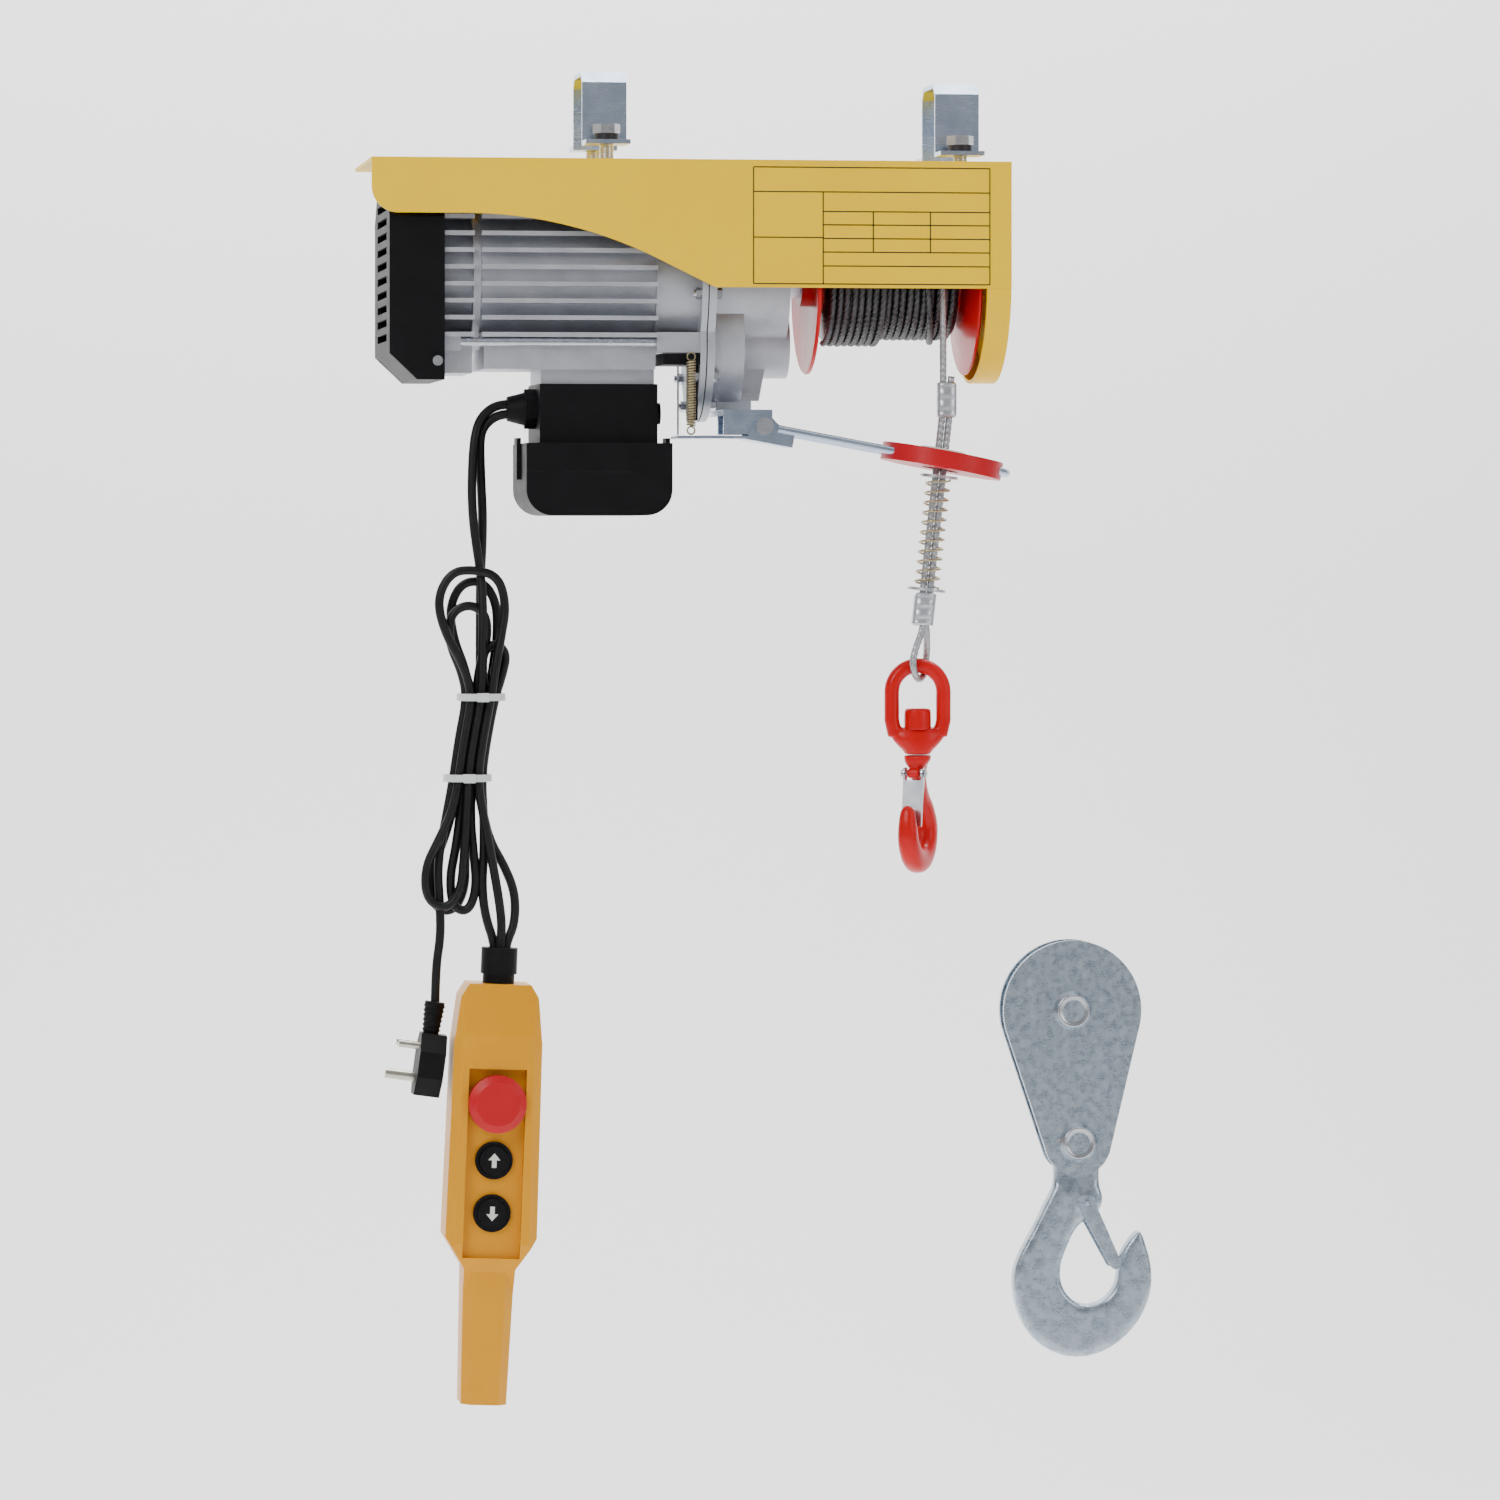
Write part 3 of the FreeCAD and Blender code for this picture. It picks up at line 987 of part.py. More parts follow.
outer_shell = pendant_side(0, -deep, deep - 3).cut(front_slope(0))
edges = [e for e in outer_shell.Edges if e.Length > 40 and abs(e.CenterOfMass.x) > 12]
front_edges = [e for e in edges if e.CenterOfMass.y < -5]
outer_shell = outer_shell.makeChamfer(6, front_edges)
cavity = pendant_side(wall + 3, -deep + wall, deep - 3 - wall).cut(front_slope(11.5))
floor_y = -deep + 9
recess_cut = Part.makeBox(40, 30, 131, Vec(-20, floor_y - 30, -214))
estop_d, up_d, down_d = -106.9, -146.6, -183.0
stem_ways = [Part.makeCylinder(size("estop_stem + button_gap"), 30, Vec(0, floor_y - 10, estop_d), Vec(0, 1, 0))]
stem_ways += [Part.makeCylinder(size("button_r + button_gap"), 30, Vec(0, floor_y - 10, z), Vec(0, 1, 0))
              for z in (up_d, down_d)]
gland_way = Part.makeCylinder(7, 12, Vec(0, 0, -34))
shell = outer_shell.cut([cavity, recess_cut, gland_way] + stem_ways)
back_half = Part.makeBox(90, 60, 400, Vec(-45, 0, -380))
halves = Part.Compound(shell.common(back_half).Solids + shell.cut(back_half).Solids)
node("pendant_shells", shaped(on_pendant(halves)))
knurl = Part.makeCylinder(12.6, 18, Vec(0, 0, -18.4)).fuse(Part.makeCylinder(11, 7, Vec(0, 0, -25)))
node("pendant_gland", shaped(on_pendant(knurl)))
bezels = [Part.makeCylinder(size("bezel_r"), 3, Vec(0, floor_y - 3, z), Vec(0, 1, 0)).cut(
    Part.makeCylinder(size("button_r + button_gap"), 3, Vec(0, floor_y - 3, z), Vec(0, 1, 0)))
    for z in (up_d, down_d)]
node("button_bezels", shaped(on_pendant(Part.Compound(bezels))))
button_r = size("button_r")
for name, z in (("up_button", up_d), ("down_button", down_d)):
    cap_disc = Part.makeCylinder(button_r, 12, Vec(0, floor_y - 5, z), Vec(0, 1, 0))
    node(name, shaped(on_pendant(cap_disc)))
mushroom = Part.makeCylinder(size("estop_r"), 7, Vec(0, floor_y - 14, estop_d), Vec(0, 1, 0)).fuse(
    [Part.makeCone(size("estop_r") - 5, size("estop_r"), 3, Vec(0, floor_y - 17, estop_d), Vec(0, 1, 0)),
     Part.makeCylinder(size("estop_stem"), 18, Vec(0, floor_y - 8, estop_d), Vec(0, 1, 0))])
node("estop_button", shaped(on_pendant(mushroom)))

# ---------------------------------------------------------------- hook block

BLOCK_Y = -20.0
half_gap = size("plate_gap / 2")
plate_t = size("plate")
top_c = (size("block_x"), size("-block_top"))
eye_c = (size("eye_x"), size("-eye_drop"))


def tangent_hull(first, first_r, second, second_r):
    """Two rounds and the flat sides that touch both, as one face in X and Z."""
    run = Vec(second[0] - first[0], 0, second[1] - first[1])
    heading = math.atan2(run.z, run.x)
    tilt = math.acos((first_r - second_r) / run.Length)
    spots = []
    for side_sign in (1, -1):
        angle = heading + side_sign * tilt
        out = Vec(math.cos(angle), 0, math.sin(angle))
        spots.append((Vec(first[0], 0, first[1]) + out * first_r, Vec(second[0], 0, second[1]) + out * second_r))
    back = Vec(first[0] - math.cos(heading) * first_r, 0, first[1] - math.sin(heading) * first_r)
    tip = Vec(second[0] + math.cos(heading) * second_r, 0, second[1] + math.sin(heading) * second_r)
    return Part.Face(Part.Wire([
        Part.LineSegment(spots[0][0], spots[0][1]).toShape(), Part.Arc(spots[0][1], tip, spots[1][1]).toShape(),
        Part.LineSegment(spots[1][1], spots[1][0]).toShape(), Part.Arc(spots[1][0], back, spots[0][0]).toShape()]))


cheek = tangent_hull(top_c, size("block_r"), eye_c, 23.5)
cheeks = []
for y in (BLOCK_Y - half_gap - plate_t, BLOCK_Y + half_gap):
    solid = cheek.extrude(Vec(0, plate_t, 0))
    solid.translate(Vec(0, y, 0))
    for (x, z), r in ((top_c, size("sheave_pin_r")), (eye_c, size("eye_pin_r"))):
        solid = solid.cut(Part.makeCylinder(r, 10, Vec(x, y - 2, z), Vec(0, 1, 0)))
    cheeks.append(solid)
node("block_plates", shaped(Part.Compound(cheeks)))

pins = []
for (x, z), r, head in ((top_c, size("sheave_pin_r"), 13.7), (eye_c, size("eye_pin_r"), 13.7)):
    low = BLOCK_Y - half_gap - plate_t
    pin = Part.makeCylinder(r, 2 * (half_gap + plate_t), Vec(x, low, z), Vec(0, 1, 0))
    heads = [Part.makeCone(head - 3, head, 4, Vec(x, low - 4, z), Vec(0, 1, 0)),
             Part.makeCone(head, head - 3, 4, Vec(x, BLOCK_Y + half_gap + plate_t, z), Vec(0, 1, 0))]
    pins.append(pin.fuse(heads))
node("block_pins", shaped(Part.Compound(pins)))

sheave_r = size("sheave_r")
sheave_half = half_gap - size("side_gap")
pin_bore = size("sheave_pin_r + pin_gap")
sheave_profile = [Vec(pin_bore, -sheave_half, 0), Vec(sheave_r, -sheave_half, 0),
                  Vec(sheave_r, -sheave_half + 1, 0), Vec(sheave_r - 6, -2.4, 0), Vec(sheave_r - 7, 0, 0),
                  Vec(sheave_r - 6, 2.4, 0), Vec(sheave_r, sheave_half - 1, 0),
                  Vec(sheave_r, sheave_half, 0), Vec(pin_bore, sheave_half, 0)]
sheave = Part.Face(Part.makePolygon(sheave_profile + sheave_profile[:1])).revolve(Vec(), Vec(0, 1, 0), 360)
sheave.translate(Vec(top_c[0], BLOCK_Y, top_c[1]))
node("block_sheave", shaped(sheave))

NECK = eye_c[1] - 31.4
OUTER = [(-16.5, -31.4), (-24, -46), (-31.8, -61.5), (-45.2, -91.6), (-44.2, -109.8), (-31.8, -136.4),
         (0.7, -151.1), (31.1, -139.9), (49.5, -116.1), (53.7, -97.9), (50.2, -75.5), (45.3, -61.5)]
INNER = [(45.3, -61.5), (36.8, -69.9), (29.7, -86), (27.6, -100), (18.4, -111.2), (4.3, -114),
         (-7.8, -105.6), (-12, -91.6), (-6.3, -72), (2, -58), (14, -50), (16.3, -31.4)]


def spline(points):
    curve = Part.BSplineCurve()
    curve.interpolate([Vec(eye_c[0] + x, 0, eye_c[1] + z) for x, z in points])
    return curve.toShape()


shoulder_left = Vec(eye_c[0] - 16.5, 0, NECK)
shoulder_right = Vec(eye_c[0] + 16.3, 0, NECK)
hook_outline = Part.Face(Part.Wire([
    spline(OUTER), spline(INNER), Part.LineSegment(shoulder_right, shoulder_left).toShape()]))
hook_half_thick = size("hook_thick / 2")
bowl = hook_outline.extrude(Vec(0, 2 * hook_half_thick + 5, 0))
bowl.translate(Vec(0, BLOCK_Y - hook_half_thick - 2.5, 0))
eye_ring = Part.makeCylinder(22.5, 2 * hook_half_thick, Vec(eye_c[0], BLOCK_Y - hook_half_thick, eye_c[1]),
                             Vec(0, 1, 0))
neck_block = Part.makeBox(33, 2 * hook_half_thick, 20,
                          Vec(eye_c[0] - 16.5, BLOCK_Y - hook_half_thick, NECK - 3))
clear = tangent_hull(top_c, size("block_r") + 0.5, eye_c, 24.5).extrude(Vec(0, 60, 0))
clear.translate(Vec(0, BLOCK_Y - 30, 0))
eye_bore = Part.makeCylinder(size("eye_pin_r + pin_gap"), 60, Vec(eye_c[0], BLOCK_Y - 30, eye_c[1]), Vec(0, 1, 0))
block_pivot = (5.7, -42.6)
latch_stub = Part.makeCylinder(3, 30, Vec(eye_c[0] + block_pivot[0], BLOCK_Y - 15, eye_c[1] + block_pivot[1]),
                               Vec(0, 1, 0))
block_hook = bowl.cut(clear).fuse([eye_ring, neck_block]).cut(eye_bore).fuse(latch_stub)
node("block_hook", shaped(block_hook))

latch_run = Vec(21.0, 0, -42.5)
latch_width = 2 * hook_half_thick + 5 + 1.0
latch_cheeks = []
for y in (BLOCK_Y - latch_width / 2 - 1.5, BLOCK_Y + latch_width / 2):
    arm_face = tangent_hull((eye_c[0] + block_pivot[0], eye_c[1] + block_pivot[1]), 6,
                            (eye_c[0] + block_pivot[0] + latch_run.x, eye_c[1] + block_pivot[1] + latch_run.z), 4)
    side_plate = arm_face.extrude(Vec(0, 1.5, 0))
    side_plate.translate(Vec(0, y, 0))
    latch_cheeks.append(side_plate)
bridge_at = Vec(eye_c[0] + block_pivot[0] + latch_run.x, BLOCK_Y - latch_width / 2 - 1,
                eye_c[1] + block_pivot[1] + latch_run.z)
bridge = Part.makeCylinder(2.2, latch_width + 2, bridge_at, Vec(0, 1, 0))
latch_hole = Part.makeCylinder(size("3 + pin_gap"), 60,
                               Vec(eye_c[0] + block_pivot[0], BLOCK_Y - 30, eye_c[1] + block_pivot[1]),
                               Vec(0, 1, 0))
node("block_latch", shaped(latch_cheeks[0].fuse([latch_cheeks[1], bridge]).cut(latch_hole)))

# ---------------------------------------------------------------- write

doc.recompute()
failed = [o.Name for o in doc.Objects if "Invalid" in o.State or "Error" in o.State]
if failed:
    raise RuntimeError("failed objects: %s" % failed)
for made in nodes:
    if made.Shape.isNull() or not made.Shape.isValid():
        raise RuntimeError("bad shape: " + made.Label)
os.makedirs("parts", exist_ok=True)
for made in nodes:
    made.Shape.exportStep("parts/%s.step" % made.Label)
print(len(nodes), "pieces")
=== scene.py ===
import json
import math

import bmesh
import bpy
import numpy as np
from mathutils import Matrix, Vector


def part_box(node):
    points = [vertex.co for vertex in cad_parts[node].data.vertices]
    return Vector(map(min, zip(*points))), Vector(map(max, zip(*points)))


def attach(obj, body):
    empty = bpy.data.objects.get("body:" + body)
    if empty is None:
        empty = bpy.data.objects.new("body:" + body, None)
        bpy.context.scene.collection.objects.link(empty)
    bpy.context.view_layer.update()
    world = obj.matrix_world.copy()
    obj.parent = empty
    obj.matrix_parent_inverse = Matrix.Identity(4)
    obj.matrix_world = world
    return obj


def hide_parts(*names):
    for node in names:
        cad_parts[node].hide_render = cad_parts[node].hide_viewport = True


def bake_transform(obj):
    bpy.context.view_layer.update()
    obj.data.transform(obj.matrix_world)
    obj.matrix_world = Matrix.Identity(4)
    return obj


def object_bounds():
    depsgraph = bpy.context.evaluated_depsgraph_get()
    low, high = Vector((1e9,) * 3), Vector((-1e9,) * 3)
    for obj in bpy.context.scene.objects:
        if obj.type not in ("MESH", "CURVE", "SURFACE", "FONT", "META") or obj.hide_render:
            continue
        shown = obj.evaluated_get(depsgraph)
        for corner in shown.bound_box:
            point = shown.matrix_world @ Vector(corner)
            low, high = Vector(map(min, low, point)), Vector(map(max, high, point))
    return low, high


# %% [markdown]
# # An electric wire rope hoist, built around its CAD frame
# The frame holds every rigid part of the hoist in metres, with the boom's axis as the origin and +Z up.
# This notebook gives those parts their paint, castings and plating, and makes what CAD leaves plain: the
# folded cords, the wound rope, the strands of the hanging rope and the two forged hooks.

# %% Load the frame
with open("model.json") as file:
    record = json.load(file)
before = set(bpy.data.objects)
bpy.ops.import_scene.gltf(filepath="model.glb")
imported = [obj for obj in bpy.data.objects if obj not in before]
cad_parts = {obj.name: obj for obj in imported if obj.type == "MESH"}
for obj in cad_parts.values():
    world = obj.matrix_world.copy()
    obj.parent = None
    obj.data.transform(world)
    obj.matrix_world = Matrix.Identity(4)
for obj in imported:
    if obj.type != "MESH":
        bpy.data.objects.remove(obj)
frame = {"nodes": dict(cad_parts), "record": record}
bpy.context.view_layer.update()
cad_low, cad_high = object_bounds()
nodes = frame["nodes"]
MM = 0.001
print("CAD box", [round(v, 3) for v in cad_low], [round(v, 3) for v in cad_high])

# %% [markdown]
# ## Camera
# A hoist is shown best by a long lens from a level camera a little to its left, so that the drum, the
# motor's fins and the pendant's front all read at once and the uprights stay upright.

# %% Camera
YAW = math.radians(8)
DISTANCE = 4.5
FIELD = 1.05
EYE_LEVEL = -0.29
FRAME_CENTRE = Vector((-0.018, 0.0, -0.434))
look = Vector((math.sin(YAW), math.cos(YAW), 0))
camera_data = bpy.data.cameras.new("studio_camera")
camera_data.sensor_width = 36
camera_data.lens = camera_data.sensor_width * DISTANCE / FIELD
camera_data.shift_y = (FRAME_CENTRE.z - EYE_LEVEL) / FIELD
camera = bpy.data.objects.new("studio_camera", camera_data)
camera.location = Vector((FRAME_CENTRE.x, FRAME_CENTRE.y, EYE_LEVEL)) - look * DISTANCE
camera.rotation_euler = (math.pi / 2, 0, -YAW)
bpy.context.scene.collection.objects.link(camera)
bpy.context.scene.camera = camera

# %% [markdown]
# ## Small tools for making pieces
# Most pieces here are a section carried along a line: a cord, a strand, a forged hook. One loft
# that joins rings of points serves the strands and the forgings, and a short helper links each piece and lets
# it ride.

# %% Helpers for pieces


def link(obj, body, finish=None):
    """Put a new piece in the scene, give it its finish and let it ride on a body."""
    if obj.name not in bpy.context.scene.collection.objects:
        bpy.context.scene.collection.objects.link(obj)
    if finish is not None:
        obj.data.materials.clear()
        obj.data.materials.append(finish)
    if body:
        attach(obj, body)
    return obj


def mesh_from(name, verts, faces, smooth=True):
    mesh = bpy.data.meshes.new(name)
    mesh.from_pydata([tuple(v) for v in verts], [], faces)
    mesh.update()
    bm = bmesh.new()
    bm.from_mesh(mesh)
    bmesh.ops.recalc_face_normals(bm, faces=bm.faces)
    bm.to_mesh(mesh)
    bm.free()
    for polygon in mesh.polygons:
        polygon.use_smooth = smooth
    return bpy.data.objects.new(name, mesh)


def loft(rings, closed=False):
    """Vertices and faces of a skin over rings that all have the same number of points."""
    count = len(rings[0])
    verts = [point for ring in rings for point in ring]
    faces = []
    last = len(rings) if closed else len(rings) - 1
    for i in range(last):
        here, there = i * count, ((i + 1) % len(rings)) * count
        for j in range(count):
            k = (j + 1) % count
            faces.append((here + j, here + k, there + k, there + j))
    if not closed:
        faces.append(tuple(range(count - 1, -1, -1)))
        faces.append(tuple(range((len(rings) - 1) * count, len(rings) * count)))
    return verts, faces


def joined(parts):
    """Several lists of vertices and faces as one."""
    verts, faces = [], []
    for more_verts, more_faces in parts:
        faces += [tuple(i + len(verts) for i in face) for face in more_faces]
        verts += list(more_verts)
    return verts, faces


def frames_along(points, up=Vector((0, 0, 1))):
    """A tangent and two cross directions at each point of a line, carried along without twist."""
    points = [Vector(p) for p in points]
    out, normal = [], None
    for i, point in enumerate(points):
        tangent = (points[min(i + 1, len(points) - 1)] - points[max(i - 1, 0)]).normalized()
        if normal is None:
            normal = tangent.orthogonal() if abs(tangent.dot(up)) > 0.95 else tangent.cross(up)
        normal = (normal - tangent * normal.dot(tangent)).normalized()
        out.append((point, tangent, normal, tangent.cross(normal)))
    return out


def pipe(points, radius, sides=10):
    """A round tube along points, as vertices and faces."""
    rings = []
    for point, _, across, along in frames_along(points):
        rings.append([point + (across * math.cos(a) + along * math.sin(a)) * radius
                      for a in (2 * math.pi * k / sides for k in range(sides))])
    return loft(rings)


def smooth_rows(rows, steps=6):
    """Rows of numbers, interpolated so that they pass through every row with no corner."""
    rows = np.array(rows, float)
    padded_rows = np.vstack([2 * rows[0] - rows[1], rows, 2 * rows[-1] - rows[-2]])
    out = []
    for i in range(1, len(padded_rows) - 2):
        a, b, c, d = padded_rows[i - 1:i + 3]
        for t in np.arange(steps) / steps:
            out.append(0.5 * (2 * b + (c - a) * t + (2 * a - 5 * b + 4 * c - d) * t ** 2
                              + (3 * b - 3 * c + d - a) * t ** 3))
    out.append(rows[-1])
    return np.array(out)


def turned_piece(profile, centre, axis, sides=48):
    """A turned skin: profile rows are (along the axis, radius)."""
    axis = Vector(axis).normalized()
    across = axis.orthogonal().normalized()
    other = axis.cross(across)
    rings = [[Vector(centre) + axis * d + (across * math.cos(a) + other * math.sin(a)) * max(r, 1e-5)
              for a in (2 * math.pi * k / sides for k in range(sides))] for d, r in profile]
    return loft(rings)


def nurbs(name, points, radius, resolution=8):
    """A round cord on one open NURBS spline of order 3 through its own control points."""
    curve = bpy.data.curves.new(name, "CURVE")
    curve.dimensions = "3D"
    curve.bevel_depth = 1
    curve.bevel_resolution = 4
    curve.use_fill_caps = True
    spline = curve.splines.new("NURBS")
    spline.points.add(len(points) - 1)
    for spot, point in zip(spline.points, points):
        spot.co = (*point, 1)
        spot.radius = radius
    spline.order_u = 3
    spline.use_endpoint_u = True
    spline.resolution_u = resolution
    return bpy.data.objects.new(name, curve)

# %% [markdown]
# ## The three folded cords
# Two control cords leave the gland on the motor's box, and a mains lead leaves the pendant. All three are
# put away in one hank that two ties hold: each cord runs down and up between the ties and turns in a loose
# loop past them. Each is one open spline, so its real length is in its turns, and the loops differ in size
# because nothing holds them there. A NURBS spline of order 3 bends like rubber, with no sharp corners.

# %% Where the strands lie between the ties
CORD_R = 3.2
LEVELS = {"high tie": (-208.5, -396), "between": (-214, -424), "low tie": (-218, -452)}
STRANDS = {
    "front left": (-6.5, -20.7), "front middle": (0, -20.7), "front right": (6.5, -20.7),
    "left": (-9.75, -15), "mid left": (-3.25, -15), "mid right": (3.25, -15), "right": (9.75, -15),
    "back left": (-6.5, -9.3), "back middle": (0, -9.3), "back right": (6.5, -9.3),
}


def strand(place, going="down"):
    """The three points of one pass between the ties, at its own place in the bundle."""
    across, depth = STRANDS[place]
    run = [(x + across, depth, z) for x, z in LEVELS.values()]
    return run if going == "down" else run[::-1]


# %% The control cord in front
front_points = [
    (-187, -10, -192.6), (-193.5, -10.2, -192.9), (-199.8, -10.8, -195), (-205.2, -11.6, -198.9),
    (-209.2, -12.6, -204.2), (-211.8, -13.6, -211), (-213.6, -14.4, -221), (-214.6, -15, -236),
    (-215, -15, -256), (-213.8, -15, -276), (-211.5, -15, -293), (-208.9, -15, -309),
    (-207.5, -18.5, -330), (-208, -20.7, -362)]
front_points += strand("front middle")
front_points += [(-219, -20.7, -480), (-221, -20.7, -508), (-223, -20.7, -530), (-233, -20.5, -543),
                 (-247, -19.5, -536), (-248, -19.5, -514), (-238, -20, -494), (-228.5, -20.7, -474)]
front_points += strand("front left", "up")
front_points += [(-221, -21, -374), (-234, -21, -352), (-240, -21, -328), (-230, -21, -309),
                 (-214, -21, -307.5), (-197, -21, -312), (-191.5, -21, -332), (-195, -21, -354),
                 (-199, -21, -375)]
front_points += strand("front right")
front_points += [(-208, -20.7, -475), (-203.6, -20.7, -497), (-197.5, -20.5, -530), (-194.5, -20.5, -552),
                 (-195.5, -21.5, -566), (-196.2, -21.5, -578)]

# %% The control cord behind
back_points = [
    (-187, -10, -199.4), (-192.8, -9.9, -199.7), (-198.9, -9.5, -201.9), (-204, -9, -206),
    (-207.4, -8.4, -211.5), (-208.5, -8, -219), (-208.3, -7.5, -232), (-207.6, -7.5, -250),
    (-206.6, -7.6, -270), (-206.8, -6.4, -291), (-207.8, -3.5, -312), (-208, -4, -340), (-208.5, -8, -370)]
back_points += strand("back middle")
back_points += [(-220, -9.3, -480), (-219, -9, -506), (-219, -9, -530), (-228, -9, -546),
                (-242, -9, -541), (-243, -9, -518), (-234, -9, -496), (-228, -9.3, -476)]
back_points += strand("back left", "up")
back_points += [(-219, -9, -376), (-227, -8.6, -356), (-230, -8.5, -334), (-222, -8.5, -317),
                (-207, -9.5, -315), (-197, -9.5, -330), (-196.5, -9.5, -354), (-200, -9.4, -376)]
back_points += strand("back right")
back_points += [(-207, -10, -475), (-202, -10, -496), (-192, -11, -513), (-184.5, -13, -532),
                (-185, -16, -553), (-191, -18.5, -566), (-193.5, -19, -578)]

# %% The mains lead
lead_points = [(-198.8, -18.5, -578), (-199.5, -18, -566), (-205.5, -16.5, -549), (-208, -15.5, -528),
               (-206.5, -15, -505), (-206.5, -15, -480)]
lead_points += strand("right", "up")
lead_points += [(-193.5, -15, -380), (-190.5, -15, -366), (-198, -15, -358), (-207, -15, -364),
                (-207.5, -15, -380)]
lead_points += strand("mid right")
lead_points += [(-216, -15, -480), (-213.5, -15, -505), (-211.5, -15, -528), (-217, -15, -545),
                (-228, -15, -542), (-230.5, -15, -522), (-226, -15, -500), (-223, -15, -478)]
lead_points += strand("mid left", "up")
lead_points += [(-210, -15, -376), (-204, -14.8, -356), (-205, -14.8, -338), (-217, -14.8, -331),
                (-230, -14.8, -338), (-231, -14.8, -358), (-222, -15, -378)]
lead_points += strand("left")
lead_points += [(-233, -15, -480), (-239, -15, -512), (-237, -15, -541), (-236.6, -15, -562),
                (-240, -15, -583), (-240.4, -15, -607)]

CORD_NODES = {"control_cord_front": ("cord_front",), "control_cord_back": ("cord_back",),
              "mains_lead": ("plug_lead", "cord_hank")}
CORD_POINTS = {"control_cord_front": front_points, "control_cord_back": back_points,
               "mains_lead": lead_points}
cords = {}
for name, points in CORD_POINTS.items():
    cords[name] = nurbs(name, [Vector(p) * MM for p in points], CORD_R * MM)
    link(cords[name], "root", None)
    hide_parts(*CORD_NODES[name])
    bare = cords[name].data.copy()
    bare.bevel_depth = 0
    line_object = bpy.data.objects.new("line", bare)
    line_mesh = bpy.data.meshes.new_from_object(line_object)
    bpy.data.objects.remove(line_object)

# %% [markdown]
# ## What the finishes share
# Cast, moulded and painted faces are never even: they are mottled over centimetres, grained under a
# millimetre and rubbed bright on their edges. Each of these is a node group, made once, that gives out only
# a mask or a height, and each finish places it with its own scale.

# %% Helpers for node groups and finishes


def tone(red, green, blue):
    """A screen colour, 0 to 255, as the linear colour that a shader needs."""
    return tuple((c / 255 / 12.92) if c / 255 <= 0.04045 else ((c / 255 + 0.055) / 1.055) ** 2.4
                 for c in (red, green, blue)) + (1,)


def node_group(name, inputs, outputs):
    group = bpy.data.node_groups.new(name, "ShaderNodeTree")
    for label, value in inputs.items():
        socket = group.interface.new_socket(label, in_out="INPUT", socket_type="NodeSocketFloat")
        socket.default_value = value
    for label in outputs:
        group.interface.new_socket(label, in_out="OUTPUT", socket_type="NodeSocketFloat")
    return group, group.nodes.new("NodeGroupInput"), group.nodes.new("NodeGroupOutput")


def add(tree, kind, **settings):
    """A node with its settings: names of sockets or of the node's own properties."""
    made = tree.nodes.new(kind)
    for key, value in settings.items():
        if hasattr(made, key):
            setattr(made, key, value)
        else:
            made.inputs[key.replace("_", " ")].default_value = value
    return made


def maths(tree, kind, first, second=None, clamp=False):
    """A Math node on two sockets or numbers; gives its output."""
    made = tree.nodes.new("ShaderNodeMath")
    made.operation = kind
    made.use_clamp = clamp
    for socket, value in zip(made.inputs, (first, second)):
        if isinstance(value, (int, float)):
            socket.default_value = value
        elif value is not None:
            tree.links.new(value, socket)
    return made.outputs[0]


# %% Mottle and grain
surface_grain, given, wanted = node_group("surface_grain", {"Mottle Size": 0.03, "Grain Size": 0.0008},
                                          ["Mottle", "Grain"])
place = add(surface_grain, "ShaderNodeTexCoord").outputs["Object"]
for label, detail, out in (("Mottle Size", 3, "Mottle"), ("Grain Size", 2, "Grain")):
    noise = add(surface_grain, "ShaderNodeTexNoise", Detail=detail, Roughness=0.55)
    surface_grain.links.new(place, noise.inputs["Vector"])
    surface_grain.links.new(maths(surface_grain, "DIVIDE", 1.0, given.outputs[label]), noise.inputs["Scale"])
    surface_grain.links.new(noise.outputs[0], wanted.inputs[out])

# %% Rubbed edges
edge_rub, given, wanted = node_group("edge_rub", {"Amount": 0.5, "Patch Size": 0.01}, ["Mask"])
round_edge = add(edge_rub, "ShaderNodeBevel", samples=4, Radius=0.0009)
shape = add(edge_rub, "ShaderNodeNewGeometry")
turn = add(edge_rub, "ShaderNodeVectorMath", operation="DOT_PRODUCT")
edge_rub.links.new(round_edge.outputs[0], turn.inputs[0])
edge_rub.links.new(shape.outputs["Normal"], turn.inputs[1])
edge = maths(edge_rub, "MULTIPLY", maths(edge_rub, "SUBTRACT", 1.0, turn.outputs["Value"]), 9.0, True)
patch = add(edge_rub, "ShaderNodeTexNoise", Detail=4)
spot = add(edge_rub, "ShaderNodeTexCoord")
edge_rub.links.new(spot.outputs["Object"], patch.inputs["Vector"])
edge_rub.links.new(maths(edge_rub, "DIVIDE", 1.0, given.outputs["Patch Size"]), patch.inputs["Scale"])
patchy = maths(edge_rub, "MULTIPLY", maths(edge_rub, "SUBTRACT", patch.outputs[0], 0.42), 6.0, True)
rubbed = maths(edge_rub, "MULTIPLY", maths(edge_rub, "MULTIPLY", edge, patchy), given.outputs["Amount"], True)
edge_rub.links.new(rubbed, wanted.inputs["Mask"])

